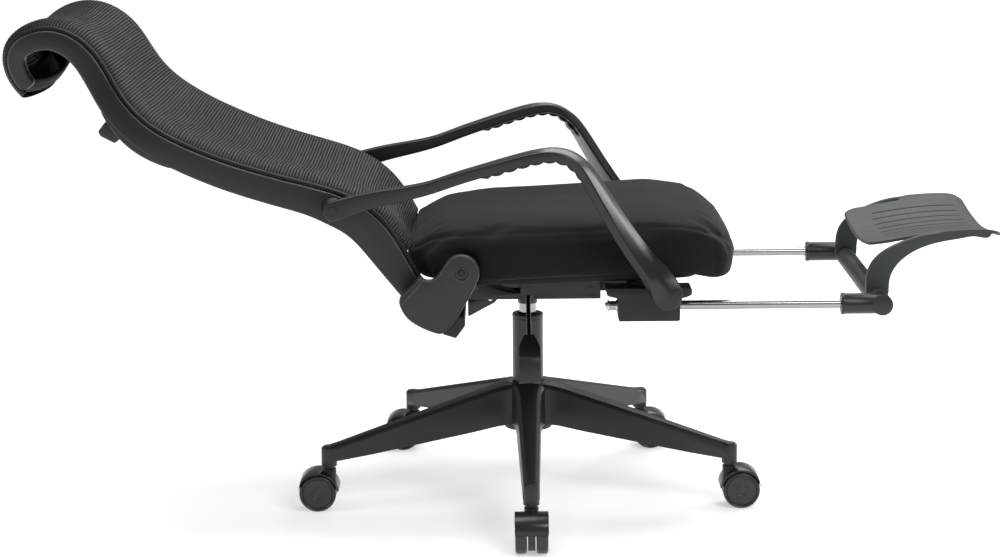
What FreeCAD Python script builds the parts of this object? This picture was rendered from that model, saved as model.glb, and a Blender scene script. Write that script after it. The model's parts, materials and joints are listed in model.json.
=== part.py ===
import FreeCAD, Part
import math
import os

V = FreeCAD.Vector
os.makedirs("parts", exist_ok=True)

# ---------------------------------------------------------------------------
# Reclining office chair with a pull-out footrest, at full recline with the footrest out.
# Millimetres. +X is the way a sitter faces, +Y the sitter's left, +Z up.
# Origin: the floor point under the gas lift's axis.
# ---------------------------------------------------------------------------

# base and casters
BASE_R = 336.3          # stem circle radius
LEG_COUNT = 5
LEG_FIRST_DEG = -90.0   # one leg points along -Y
POST_R = 12.3
POST_Z0 = 70.6
WHEEL_R = 29.5
WHEEL_OFFSET = 18.0     # stem to axle
AXLE_R = 4.0
STEM_R = 5.5
RUN = 0.05              # radial running clearance of a shaft in its hole

# gas lift
TUBE_R = 25.0
TUBE_Z0, TUBE_Z1 = 84.0, 303.0
CYL_R = 14.0
ROD_R = 5.0
LIFT_STROKE = 100.0

# linkage pivots (X, Z), axes along Y
PIV_A = (-296.0, 507.0)   # arm rear end on the back rail
PIV_B = (-103.0, 408.5)   # back ear on the seat
PIV_C = (208.0, 378.0)    # arm front end on the chassis bracket
RECLINE_TOTAL = 42.0      # turn of the back, degrees
ARM_SHARE = 0.33          # share of it that the arms turn

# footrest
ROD_Y = 222.0
ROD_Z = 352.0
TUBE14 = 7.0
FLIP = (539.0, 352.0)
FOOT_TRAVEL = 190.0

# seat
SEAT_ZB = lambda x: 385.0 + 0.04 * x      # underside of the pan
PAN_T = 12.0

# back profile: front face line of the mesh edge, (x, z, half width, rail depth)
BACK = [
    (-162.9, 397.4, 195.0, 48.0), (-183.9, 436.1, 199.0, 55.3), (-204.6, 470.4, 203.6, 59.3),
    (-226.7, 497.6, 208.2, 60.0), (-252.3, 518.0, 213.3, 59.1), (-284.0, 534.1, 218.6, 57.2),
    (-321.8, 547.2, 223.0, 53.0), (-364.3, 559.2, 227.2, 51.0), (-406.3, 571.9, 232.6, 49.9),
    (-447.2, 586.0, 239.0, 48.8), (-486.8, 602.1, 244.5, 47.6), (-525.0, 620.0, 247.7, 46.6),
    (-558.9, 639.6, 247.1, 46.0), (-587.0, 661.7, 237.8, 45.1), (-609.0, 687.3, 225.6, 43.8),
    (-629.7, 721.5, 216.1, 42.9), (-649.8, 751.2, 214.1, 42.1), (-672.1, 771.4, 213.3, 40.7),
    (-697.5, 784.1, 213.0, 39.5), (-724.0, 788.2, 212.3, 38.6), (-750.3, 783.7, 210.8, 37.9),
    (-772.8, 771.7, 208.1, 36.7), (-787.4, 755.2, 203.8, 35.6), (-793.5, 734.8, 198.6, 34.9),
    (-791.1, 710.6, 192.4, 34.2), (-779.5, 685.8, 184.0, 33.0),
]

# arm path from the rear pivot to the front pivot:
# (x, z, y, width, thickness, roll). Roll 0 lays the broad face up, 90 turns it outwards.
ARM = [
    (-296.0, 507.0, -253.0, 18.0, 26.0, 0.0), (-246.0, 521.5, -253.0, 18.5, 24.0, 0.0),
    (-190.0, 533.0, -255.5, 21.0, 20.5, 0.0), (-148.0, 543.0, -259.5, 25.0, 18.5, 0.0),
    (-115.0, 554.5, -264.0, 30.0, 17.5, 0.0), (-66.0, 570.5, -272.0, 37.0, 16.5, 0.0),
    (-18.0, 585.0, -279.0, 43.0, 16.0, 0.0), (15.0, 593.0, -281.5, 45.0, 15.5, 0.0),
    (40.0, 594.5, -282.0, 45.5, 15.0, 3.0), (62.0, 588.0, -282.0, 45.5, 15.0, 8.0),
    (80.0, 573.0, -281.8, 45.5, 15.0, 14.0), (96.0, 550.0, -281.5, 45.5, 15.0, 19.0),
    (114.0, 520.0, -281.0, 46.0, 15.0, 22.0), (134.0, 487.0, -280.0, 46.0, 15.0, 26.0),
    (161.0, 446.0, -278.0, 46.0, 15.0, 32.0), (183.0, 417.0, -275.5, 46.0, 15.0, 42.0),
    (198.0, 396.0, -273.5, 46.0, 15.0, 66.0), (206.0, 382.0, -272.5, 46.0, 15.0, 88.0),
]


# ---------------------------------------------------------------------------
# helpers
# ---------------------------------------------------------------------------
def cyl(p, d, r, h):
    return Part.makeCylinder(r, h, V(*p), V(*d))


def cyl_y(x, z, r, y0, y1):
    lo, hi = min(y0, y1), max(y0, y1)
    return Part.makeCylinder(r, hi - lo, V(x, lo, z), V(0, 1, 0))


def cyl_x(y, z, r, x0, x1):
    return Part.makeCylinder(r, x1 - x0, V(x0, y, z), V(1, 0, 0))


def cyl_z(x, y, r, z0, z1):
    return Part.makeCylinder(r, z1 - z0, V(x, y, z0), V(0, 0, 1))


def box(x0, y0, z0, x1, y1, z1):
    return Part.makeBox(x1 - x0, y1 - y0, z1 - z0, V(x0, y0, z0))


def wire(pts):
    return Part.makePolygon([V(*p) for p in pts] + [V(*pts[0])])


def prism_y(pts, y0, y1):
    """closed XZ outline, extruded from y0 to y1"""
    face = Part.Face(wire([(x, y0, z) for x, z in pts]))
    return face.extrude(V(0, y1 - y0, 0))


def prism_z(pts, z0, z1):
    face = Part.Face(wire([(x, y, z0) for x, y in pts]))
    return face.extrude(V(0, 0, z1 - z0))


def loft(sections, ruled=False):
    s = Part.makeLoft([wire(s) for s in sections], True, ruled)
    if s.Volume < 0:
        s.reverse()
    return s


def mirrored(shape):
    return shape.mirror(V(0, 0, 0), V(0, 1, 0))


def arc_pts(cx, cy, r, a0, a1, n):
    return [(cx + r * math.cos(math.radians(a0 + (a1 - a0) * i / n)),
             cy + r * math.sin(math.radians(a0 + (a1 - a0) * i / n))) for i in range(n + 1)]


def rounded(pts, radii, n=5):
    """2-D outline with each corner replaced by an arc of the given radius"""
    out = []
    m = len(pts)
    for i, p in enumerate(pts):
        r = radii[i] if isinstance(radii, (list, tuple)) else radii
        if r <= 0:
            out.append(p)
            continue
        a, b = pts[i - 1], pts[(i + 1) % m]
        u = (a[0] - p[0], a[1] - p[1])
        w = (b[0] - p[0], b[1] - p[1])
        lu, lw = math.hypot(*u), math.hypot(*w)
        u, w = (u[0] / lu, u[1] / lu), (w[0] / lw, w[1] / lw)
        half = math.acos(max(-1.0, min(1.0, u[0] * w[0] + u[1] * w[1]))) / 2
        t = min(r / math.tan(half), 0.48 * lu, 0.48 * lw)
        r = t * math.tan(half)
        bis = (u[0] + w[0], u[1] + w[1])
        lb = math.hypot(*bis)
        c = (p[0] + bis[0] / lb * r / math.sin(half), p[1] + bis[1] / lb * r / math.sin(half))
        s = (p[0] + u[0] * t, p[1] + u[1] * t)
        e = (p[0] + w[0] * t, p[1] + w[1] * t)
        a0 = math.atan2(s[1] - c[1], s[0] - c[0])
        a1 = math.atan2(e[1] - c[1], e[0] - c[0])
        d = a1 - a0
        while d > math.pi:
            d -= 2 * math.pi
        while d < -math.pi:
            d += 2 * math.pi
        for k in range(n + 1):
            out.append((c[0] + r * math.cos(a0 + d * k / n), c[1] + r * math.sin(a0 + d * k / n)))
    return out


def fused(parts):
    s = parts[0]
    if len(parts) > 1:
        s = s.fuse(parts[1:])
    return s.removeSplitter()


def save(name, shape):
    if isinstance(shape, (list, tuple)):
        shape = Part.makeCompound(list(shape))
    n = len(shape.Solids)
    if n == 0 or not shape.isValid():
        print("CHECK", name, "solids", n, "valid", shape.isValid())
    if shape.Volume <= 0:
        print("NEGATIVE", name, shape.Volume)
    shape.exportStep(os.path.join("parts", name + ".step"))
    print("%-26s solids %2d  volume %8.1f cm3" % (name, n, shape.Volume / 1000.0))


def grid_surface(grid):
    s = Part.BSplineSurface()
    s.interpolate([[V(*p) for p in row] for row in grid])
    return s


def grid_solid(front, back):
    """closed solid between two point grids of the same size"""
    fa, fb = grid_surface(front), grid_surface(back)
    faces = [fa.toShape(), fb.toShape()]

    def edge(surf, which):
        u0, u1, v0, v1 = surf.bounds()
        if which == "u0":
            return surf.uIso(u0)
        if which == "u1":
            return surf.uIso(u1)
        if which == "v0":
            return surf.vIso(v0)
        return surf.vIso(v1)

    for w in ("u0", "u1", "v0", "v1"):
        ea, eb = edge(fa, w).toShape(), edge(fb, w).toShape()
        faces.append(Part.makeRuledSurface(ea, eb))
    shell = Part.makeShell(faces)
    shell.sewShape()
    solid = Part.makeSolid(Part.Shell(shell.Faces) if not isinstance(shell, Part.Shell) else shell)
    if solid.Volume < 0:
        solid.reverse()
    return solid


def lerp(x, table):
    if x <= table[0][0]:
        return table[0][1]
    for (a, fa), (b, fb) in zip(table, table[1:]):
        if x <= b:
            return fa + (fb - fa) * (x - a) / (b - a)
    return table[-1][1]


# ---------------------------------------------------------------------------
# five-star base
# ---------------------------------------------------------------------------
LEG_TOP = [(0, 184.0), (36, 183.0), (60, 177.0), (90, 169.0), (160, 150.0), (250, 125.5), (336, 102.5)]
LEG_BOT = [(0, 117.0), (50, 117.0), (90, 110.0), (160, 100.0), (250, 88.0), (336, 78.5)]
LEG_W = [(0, 60.0), (34, 58.0), (42, 50.0), (52, 44.5), (66, 41.0), (90, 38.5), (160, 34.5), (250, 30.0), (336, 25.5)]


def leg_section(r, inset, top_off, bot_off):
    w = lerp(r, LEG_W) / 2 - inset
    zt, zb = lerp(r, LEG_TOP) - top_off, lerp(r, LEG_BOT) - bot_off
    ch = 5.5 if inset == 0 else 2.0
    return [(r, -w, zb), (r, -w + 1.2, zt - ch), (r, -w + 1.2 + ch, zt), (r, w - 1.2 - ch, zt),
            (r, w - 1.2, zt - ch), (r, w, zb)]


leg_outer = loft([leg_section(r, 0, 0, 0) for r in (26, 36, 46, 58, 75, 100, 150, 210, 270, 320, BASE_R + 3)], ruled=True)
leg_cavity = loft([leg_section(r, 4.2, 5.0, 6.0) for r in (58, 75, 100, 150, 210, 270, 316)], ruled=True)
ribs = box(50, -1.5, 70, 320, 1.5, 190)
for r in (102, 151, 202, 252, 295):
    ribs = ribs.fuse(box(r, -22, 70, r + 2.6, 22, 190))
# ribs stop 4 mm above the open underside
floor_cut = loft([[(r, -30, 40), (r, 30, 40), (r, 30, lerp(r, LEG_BOT) + 4), (r, -30, lerp(r, LEG_BOT) + 4)]
                  for r in (40, 60, 90, 160, 250, 330)], ruled=True)
leg_cavity_open = leg_cavity.cut(ribs.cut(floor_cut))
post = cyl_z(BASE_R, 0, POST_R, POST_Z0, 99.5).fuse(
    Part.makeCone(POST_R, POST_R - 3.5, 3.5, V(BASE_R, 0, 99.5), V(0, 0, 1)))
leg_one = leg_outer.cut(leg_cavity_open).fuse(post)
hub = cyl_z(0, 0, 38.5, 98.0, 181.0).fuse(Part.makeCone(38.5, 35.5, 3.0, V(0, 0, 181.0), V(0, 0, 1)))
base = hub
for k in range(LEG_COUNT):
    leg = leg_one.copy()
    leg.rotate(V(0, 0, 0), V(0, 0, 1), LEG_FIRST_DEG + 72 * k)
    base = base.fuse(leg)
base = base.cut(cyl_z(0, 0, TUBE_R, 90.0, 190.0))
for k in range(LEG_COUNT):
    a = math.radians(LEG_FIRST_DEG + 72 * k)
    base = base.cut(cyl_z(BASE_R * math.cos(a), BASE_R * math.sin(a), STEM_R, 60.0, 97.0))
base = sorted(base.Solids, key=lambda q: -q.Volume)[0]
save("five_star_base", base)

# ---------------------------------------------------------------------------
# gas lift
# ---------------------------------------------------------------------------
tube = cyl_z(0, 0, TUBE_R, TUBE_Z0, TUBE_Z1).cut(cyl_z(0, 0, 22.5, 88.0, 310.0)).cut(cyl_z(0, 0, 6.5, 80.0, 90.0))
tube = tube.cut(cyl_z(0, 0, 30, 296.5, 297.5).cut(cyl_z(0, 0, TUBE_R - 0.8, 296.0, 298.0)))
save("gas_lift_outer_tube", tube)
bush = cyl_z(0, 0, 22.5, 262.0, 303.0).fuse(cyl_z(0, 0, TUBE_R, 303.0, 306.0)).cut(cyl_z(0, 0, CYL_R + RUN, 255.0, 310.0))
bush = bush.cut(Part.makeCone(CYL_R + RUN, CYL_R + 2.2, 2.0, V(0, 0, 304.1), V(0, 0, 1)))
save("guide_bush", bush.removeSplitter())
save("thrust_bearing", cyl_z(0, 0, 14.0, 88.0, 92.5).cut(cyl_z(0, 0, ROD_R + 0.6, 86.0, 94.0)))

piston = cyl_z(0, 0, ROD_R, 77.0, 300.0).fuse(
    [cyl_z(0, 0, 11.0, 92.8, 96.0), cyl_z(0, 0, 11.7, 300.0, 312.0)])
piston = piston.cut(cyl_z(0, 0, 7, 79.5, 81.0).cut(cyl_z(0, 0, 3.9, 79.0, 82.0)))
save("piston_rod", piston.removeSplitter())
save("retaining_clip", cyl_z(0, 0, 9.5, 79.5, 81.0).cut(cyl_z(0, 0, 3.9, 79.0, 82.0))
     .cut(box(2.2, -2.4, 79.0, 12, 2.4, 82.0)))

cyl_outer = cyl_z(0, 0, CYL_R, 100.0, 345.0).fuse(Part.makeCone(CYL_R, 13.3, 17.0, V(0, 0, 345.0), V(0, 0, 1)))
gas_cyl = cyl_outer.cut(cyl_z(0, 0, 11.8, 112.0, 330.0)).cut(cyl_z(0, 0, ROD_R + RUN, 95.0, 115.0))
gas_cyl = gas_cyl.cut(cyl_z(0, 0, 4.05, 325.0, 365.0))
save("gas_cylinder", gas_cyl.removeSplitter())
save("release_button", cyl_z(0, 0, 4.0, 344.0, 366.5).fuse(cyl_z(0, 0, 3.0, 336.0, 344.0)))

# ---------------------------------------------------------------------------
# casters
# ---------------------------------------------------------------------------
TRAIL = {0: (0, -1), 1: (1, 0), 2: (1, 0), 3: (-1, 0), 4: (-1, 0)}
stems = []
for k in range(LEG_COUNT):
    a = math.radians(LEG_FIRST_DEG + 72 * k)
    sx, sy = BASE_R * math.cos(a), BASE_R * math.sin(a)
    d = TRAIL[k]
    # local frame: u = trailing direction, w = axle direction
    ang = math.degrees(math.atan2(d[1], d[0]))

    def place(s):
        s = s.copy()
        s.rotate(V(0, 0, 0), V(0, 0, 1), ang)
        s.translate(V(sx, sy, 0))
        return s

    ax = WHEEL_OFFSET
    stems.append(place(cyl_z(0, 0, STEM_R, 44.0, 97.0).fuse(cyl_z(0, 0, 8.0, 66.6, 69.4))))
    web = cyl_y(ax, WHEEL_R, 25.5, -5.5, 5.5)
    boss = cyl_z(0, 0, 11.0, 40.0, 66.0)
    neck = box(-9.0, -5.5, 34.0, 20.0, 5.5, 60.0)
    ring_out = cyl_y(ax, WHEEL_R, 34.0, -25.5, 25.5)
    ring_in = cyl_y(ax, WHEEL_R, 31.2, -27, 27)
    fender = ring_out.cut(ring_in)
    keep = Part.Face(wire([(ax, -30, WHEEL_R)] + [(x, -30, z) for x, z in
                     arc_pts(ax, WHEEL_R, 60, 12, 172, 12)])).extrude(V(0, 60, 0))
    fender = fender.common(keep)
    bridge = cyl_y(ax, WHEEL_R, 32.0, -5.5, 5.5).common(keep)
    hood = fused([web, bridge, boss, neck, fender])
    wheel_gap = cyl_y(ax, WHEEL_R, 31.2, -27, -5.5).fuse(cyl_y(ax, WHEEL_R, 31.2, 5.5, 27))
    hood = hood.cut(wheel_gap).cut(cyl_z(0, 0, STEM_R + RUN, 43.5, 70.0))
    hood = hood.cut(cyl_y(ax, WHEEL_R, AXLE_R, -30, 30))
    save("caster_%d_hood" % (k + 1), place(hood.removeSplitter()))
    save("caster_%d_axle" % (k + 1), place(cyl_y(ax, WHEEL_R, AXLE_R, -22.5, 22.5)))
    wheels = []
    for s in (-1, 1):
        prof = [(AXLE_R + RUN, 6.3), (9.0, 6.3), (9.0, 7.5), (24.0, 7.5), (24.5, 7.0), (WHEEL_R - 1.5, 7.0),
                (WHEEL_R, 8.5), (WHEEL_R, 22.5), (WHEEL_R - 2.2, 24.7), (25.6, 24.7), (24.2, 23.2),
                (21.0, 22.6), (12.0, 22.6), (10.5, 24.2), (AXLE_R + RUN, 24.2)]
        f = Part.Face(wire([(ax + r, s * y, WHEEL_R) for r, y in prof]))
        w = f.revolve(V(ax, 0, WHEEL_R), V(0, 1, 0), 360)
        if w.Volume < 0:
            w.reverse()
        wheels.append(place(w))
    save("caster_%d_wheels" % (k + 1), wheels)
save("caster_stems", stems)

# ---------------------------------------------------------------------------
# linkage path: where a point of the seat goes as the back comes up
# ---------------------------------------------------------------------------
def turn(v, deg):
    t = math.radians(deg)
    return (v[0] * math.cos(t) + v[1] * math.sin(t), -v[0] * math.sin(t) + v[1] * math.cos(t))


def seat_shift(theta):
    a = turn((PIV_A[0] - PIV_C[0], PIV_A[1] - PIV_C[1]), ARM_SHARE * theta)
    b = turn((PIV_B[0] - PIV_A[0], PIV_B[1] - PIV_A[1]), theta)
    return (PIV_C[0] + a[0] + b[0] - PIV_B[0], PIV_C[1] + a[1] + b[1] - PIV_B[1])


path = [seat_shift(RECLINE_TOTAL * i / 14.0) for i in range(15)]
print("seat path", " ".join("(%.1f,%.1f)" % p for p in path))


def slot_outline(x, z, r):
    """outline of the slot that a roller of radius r sweeps along the seat's path"""
    pts = [(x + p[0], z + p[1]) for p in path]
    up, dn = [], []
    for i, p in enumerate(pts):
        q0, q1 = pts[max(i - 1, 0)], pts[min(i + 1, len(pts) - 1)]
        t = (q1[0] - q0[0], q1[1] - q0[1])
        m = math.hypot(*t)
        n = (-t[1] / m, t[0] / m)
        up.append((p[0] + n[0] * r, p[1] + n[1] * r))
        dn.append((p[0] - n[0] * r, p[1] - n[1] * r))
    return up + dn[::-1]


ROLL_R = 4.0
SLOT_R = 4.45
ROLLERS = [(100.0, 353.0), (0.0, 353.0)]

# ---------------------------------------------------------------------------
# chassis
# ---------------------------------------------------------------------------
floor = prism_z(rounded([(-92, -82), (115, -82), (115, 82), (-92, 82)], 6), 335.0, 338.0)
wall_f = box(112, -79, 338, 115, 79, 370)
wall_r = box(-92, -79, 338, -89, 79, 366)
socket = cyl_z(0, 0, 15.8, 313.0, 335.0).fuse([cyl_z(0, 0, 24.0, 338.0, 343.0), cyl_z(0, 0, 19.0, 343.0, 360.0)])
tray = fused([floor, wall_f, wall_r, socket])
tray = tray.cut(cyl_outer).cut(box(-9, -82.5, 330, 9, -33, 342))
lever_block = box(-16, -48, 338, 16, -30, 341).fuse([box(-16, -47, 338, -9.5, -33, 352), box(9.5, -47, 338, 16, -33, 352)])
lever_block = lever_block.cut(box(-9.4, -82.5, 330, 9.4, -33, 345)).cut(cyl_x(-40, 345, 3.05, -20, 20))
cam_block = box(9, 25, 322, 25, 37, 335).fuse(box(9, 70, 322, 25, 80, 335))
tray = tray.fuse([lever_block, cam_block]).cut(cyl_outer).cut(cyl_y(17, 329, 4.0 + RUN, 20, 90)).removeSplitter()
save("chassis_tray", tray)

guides = []
for s in (-1, 1):
    g = prism_y(rounded([(-94, 335), (115, 335), (115, 375.5), (-94, 375.5)], [2, 2, 12, 12]), 82 * s, 85 * s)
    for x, z in ROLLERS:
        slot = prism_y(slot_outline(x, z, SLOT_R), 80 * s, 87 * s)
        g = g.cut(slot.fuse([cyl_y(x + path[0][0], z + path[0][1], SLOT_R, 80 * s, 87 * s),
                             cyl_y(x + path[-1][0], z + path[-1][1], SLOT_R, 80 * s, 87 * s)]))
    if s < 0:
        g = g.cut(box(-9, -90, 330, 9, -80, 341))
    guides.append(g.removeSplitter())
save("guide_plates", guides)

cheek = rounded([(-45, 335), (-53, 325), (-93, 303.5), (-96, 303.5), (-96, 326), (-88, 335)], [0, 4, 2, 1, 3, 0])
stop_bracket = fused([prism_y(cheek, -60, -56), prism_y(cheek, 56, 60), box(-96, -56, 303.5, -92, 56, 326)])
save("rear_stop_bracket", stop_bracket)
fasteners = [cyl_y(-60, 331, 3.2, -62.5, -60), cyl_y(-60, 331, 3.2, 60, 62.5)]

beam = fused([box(115, -72, 345, 160, -48, 369), box(115, 48, 345, 160, 72, 369), box(156, -205, 345, 186, 205, 371)])
save("front_beam", beam)


def bracket():
    side = rounded([(115, 383.5), (118.5, 372), (134.5, 368), (135.5, 332.5), (229, 332.5), (229.5, 367),
                    (239, 369.5), (247, 373), (247, 383.5)], [2, 4, 3, 3, 3, 3, 3, 4, 3])
    b = prism_y(side, -250, -205)
    b = b.fuse(cyl_y(PIV_C[0], PIV_C[1], 17.0, -264.3, -240)).cut(box(100, -270, 383.5, 260, -200, 420))
    b = b.cut(cyl_x(-ROD_Y, ROD_Z, 9.5, 100, 260)).cut(cyl_y(PIV_C[0], PIV_C[1], 6.05, -270, -236))
    return b.removeSplitter()


br = bracket()
save("front_brackets", [br, mirrored(br)])
bushes = []
for s in (-1, 1):
    for x0 in (135.5, 219.0):
        bushes.append(cyl_x(s * ROD_Y, ROD_Z, 9.5, x0, x0 + 10.0).cut(cyl_x(s * ROD_Y, ROD_Z, TUBE14 + RUN, x0 - 1, x0 + 12)))
save("rod_bushes", bushes)
for s in (-1, 1):
    for x in (164.0, 178.0):
        fasteners.append(cyl_z(x, s * 195.0, 5.5, 341.5, 345.0).cut(cyl_z(x, s * 195.0, 2.6, 340, 343.2)))
save("chassis_fasteners", fasteners)

# height lever: wire bent over the release button, out through the tray's slot
def rod_path(pts, r):
    """bent round bar: straight runs with ball joints at the corners"""
    parts = []
    for a, b in zip(pts, pts[1:]):
        d = V(*b) - V(*a)
        parts.append(Part.makeCylinder(r, d.Length, V(*a), d))
    for p in pts[1:-1]:
        parts.append(Part.makeSphere(r, V(*p)))
    return fused(parts)


lever_rod = rod_path([(0, 3, 370.6), (0, -27, 369.4), (0, -40, 345.0), (0, -205, 292.2)], 3.6)
lever_rod = lever_rod.fuse(cyl_x(-40, 345, 3.0, -15.5, 15.5)).removeSplitter()
save("height_lever_rod", lever_rod)
# paddle: flat blade that widens outwards and turns down at its end
pad_out = rounded([(-7.5, -193), (7.5, -193), (16.0, -226), (16.5, -258), (-16.5, -258), (-16.0, -226)], [3, 3, 12, 6, 6, 12])
slope = (292.2 - 345.0) / (205 - 40)


def lever_z(y):
    return 345.0 + slope * (-40 - y)


blade = Part.Face(wire([(x, y, lever_z(y) - 5.0) for x, y in pad_out])).extrude(V(0, 0, 10.0))
lip_side = [(-250.0, lever_z(-250) + 5), (-258.5, lever_z(-258) + 3), (-261.5, lever_z(-258) - 6), (-262.5, 242), (-259, 239),
            (-256, 242), (-254.0, lever_z(-254) - 5)]
lip = Part.Face(wire([(-16.5, y, z) for y, z in lip_side])).extrude(V(33.0, 0, 0))
paddle = blade.fuse(lip).cut(lever_rod).removeSplitter()
save("height_lever_paddle", paddle)

# recline lever on the far side: shaft, cam and handle
rl_shaft = fused([cyl_y(17, 329, 4.0, 24, 200), cyl_y(17, 329, 8.0, 88.5, 92.5),
                  prism_y([(9.5, 329), (24.5, 329), (20, 338.8), (14, 338.8)], 88.5, 92.5)])
save("recline_lever_shaft", rl_shaft)
handle = prism_y(rounded([(8, 338), (8, 320), (40, 323), (78, 315), (84, 320), (82, 327), (42, 335)], [6, 6, 4, 3, 3, 3, 4]), 178, 206)
save("recline_lever_handle", handle.cut(cyl_y(17, 329, 4.0, 170, 200)).removeSplitter())

# ---------------------------------------------------------------------------
# footrest
# ---------------------------------------------------------------------------
rods, elbows, stops = [], [], []
for s in (-1, 1):
    y = s * ROD_Y
    rods.append(cyl_x(y, ROD_Z, TUBE14, 122.0, 519.0).cut(cyl_x(y, ROD_Z, 5.2, 132.0, 519.5)))
    e = fused([cyl_x(y, ROD_Z, 16.0, 477.0, 539.0), cyl_y(FLIP[0], FLIP[1], 16.0, y - 17, y + 17),
               cyl_x(y, ROD_Z, 17.0, 478.5, 482.5)])
    e = e.cut(cyl_x(y, ROD_Z, TUBE14, 470.0, 519.0)).cut(cyl_y(FLIP[0], FLIP[1], 8.0, s * 200, s * 230))
    elbows.append(e)
    stops.append(fused([cyl_x(y, ROD_Z, 8.6, 132.2, 134.8), cyl_x(y, ROD_Z, 8.6, 119.5, 122.0), cyl_x(y, ROD_Z, 5.0, 116.0, 122.0)])
                 .cut(cyl_x(y, ROD_Z, TUBE14, 122.0, 140.0)))
save("footrest_rods", rods)
save("footrest_elbows", elbows)
save("rod_stop_washers", stops)
save("footrest_cross_shaft", cyl_y(FLIP[0], FLIP[1], 8.0, -230, 230).cut(cyl_y(FLIP[0], FLIP[1], 6.2, -240, 240)))

PAD_X = [528.0, 545.0, 565.0, 592.0, 625.0, 666.0, 700.0, 722.0, 736.0]
PAD_MID = [(528, 419.5), (565, 425.0), (592, 430.0), (625, 435.0), (666, 439.0), (700, 440.0), (722, 437.5), (736, 432.5)]
PAD_RISE = [(528, 19.0), (736, 17.5)]


def pad_z(x, y):
    return lerp(x, PAD_MID) + lerp(x, PAD_RISE) * (abs(y) / 178.0) ** 1.7


ys = [-182.0 + 364.0 * i / 12 for i in range(13)]
top_grid = [[(x, y, pad_z(x, y)) for y in ys] for x in PAD_X]
bot_grid = [[(x, y, pad_z(x, y) - 5.0) for y in ys] for x in PAD_X]
sheet = grid_solid(top_grid, bot_grid)
panel_plan = rounded([(530, -158), (622, -158), (634, -181), (731, -181), (733, 0), (731, 181), (634, 181), (622, 158), (530, 158)],
                     [26, 6, 6, 22, 0, 22, 6, 6, 26], 6)
panel = sheet.common(prism_z(panel_plan, 380, 500))
slots = []
for y in (-112, -80, -48, -16, 16, 48, 80, 112):
    x0 = 574 if abs(y) > 100 else 570
    slots.append(box(x0, y - 1.6, 380, 706, y + 1.6, 500).fuse([cyl_z(x0, y, 1.6, 380, 500), cyl_z(706, y, 1.6, 380, 500)]))
panel = panel.cut(slots)
ztop = lambda x: pad_z(x, 174)
side = [(522, 356), (521, 384), (528, 404), (546, 423), (575, 439), (606, ztop(606) - 1.0), (640, ztop(640)), (666, ztop(666)), (700, ztop(700) - 0.3),
        (716, ztop(716) - 1.0), (712, 447.5), (670, 444.5), (640, 439.5), (609, 431), (589, 421), (570, 406), (558, 388), (556, 356)]
side_arm = prism_y(side, -181, -168)
hub_tube = cyl_y(FLIP[0], FLIP[1], 15.2, -203.5, 203.5)
footpad = panel.fuse([side_arm, mirrored(side_arm), hub_tube]).cut(cyl_y(FLIP[0], FLIP[1], 8.0 + RUN, -210, 210)).removeSplitter()
save("footrest_pad", footpad)

# ---------------------------------------------------------------------------
# seat
# ---------------------------------------------------------------------------
pan_plan = rounded([(-138, -150), (-120, -205), (150, -226), (250, -222), (272, -150), (272, 150), (250, 222), (150, 226), (-120, 205), (-138, 150)],
                   [20, 20, 30, 25, 20, 20, 25, 30, 20, 20], 5)
pan = Part.Face(wire([(x, y, SEAT_ZB(x)) for x, y in pan_plan])).extrude(V(0, 0, PAN_T))
save("seat_pan", pan)

# cushion sections across the seat: (y, rear x, front x, crown drop, side lift)
SEAT_PLAN = [(0, -178, 319, 0), (110, -178, 318, 1.0), (150, -177, 316, 2.5), (172, -173, 314, 4.0), (184, -162, 312, 5.2), (189, -150, 311, 6.0),
             (204, -145, 308, 7.5), (215, -131, 303, 9.5), (222, -110, 299, 11.5), (228, -86, 293, 13.5), (233, -62, 286, 15.5), (239, -30, 274, 19.0),
             (244, 5, 258, 24.0), (247.5, 45, 236, 31.0)]
SEAM = [(-178, 437), (-165, 441), (-145, 452), (-115, 459), (-42, 463.5), (31, 466.5), (119, 471.5), (178, 474.5), (233, 474.5), (258, 470), (280, 461), (300, 450), (320, 434)]


def cushion_profile(xr, xf, drop, y):
    """closed XZ outline of the cushion at one station across the seat"""
    top = lambda x: lerp(x, SEAM) + 14.0 - drop
    zb = lambda x: SEAT_ZB(x) + PAN_T + 0.0
    lift = 0.0 if y < 214 else (y - 214) * 0.22
    mid = (xr + xf) / 2
    L = xf - xr
    return [(xr + 0.075 * L, zb(xr + 0.075 * L) + lift), (xr + 0.030 * L, 402 + lift), (xr + 0.008 * L, 418), (xr, 434), (xr + 0.010 * L, 445 - drop * 0.4),
            (xr + 0.040 * L, top(xr + 0.040 * L) - 7), (xr + 0.10 * L, top(xr + 0.10 * L) - 3), (xr + 0.25 * L, top(xr + 0.25 * L)),
            (mid, top(mid)), (xf - 0.25 * L, top(xf - 0.25 * L)), (xf - 0.10 * L, top(xf - 0.10 * L) - 2), (xf - 0.035 * L, top(xf - 0.035 * L) - 9),
            (xf, 436 - drop * 0.3), (xf - 0.006 * L, 420), (xf - 0.035 * L, 410 + lift), (xf - 0.09 * L, zb(xf - 0.09 * L) + lift)]


secs = []
for y, xr, xf, drop in reversed(SEAT_PLAN[1:]):
    secs.append([(x, -y, z) for x, z in cushion_profile(xr, xf, drop, y)])
for y, xr, xf, drop in SEAT_PLAN:
    secs.append([(x, y, z) for x, z in cushion_profile(xr, xf, drop, y)])
cushion = loft(secs, ruled=True)
for s in (-1, 1):
    cushion = cushion.cut(box(-134, min(s * 213.5, s * 260), 380, -72, max(s * 213.5, s * 260), 440))
save("seat_cushion", cushion.removeSplitter())

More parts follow.
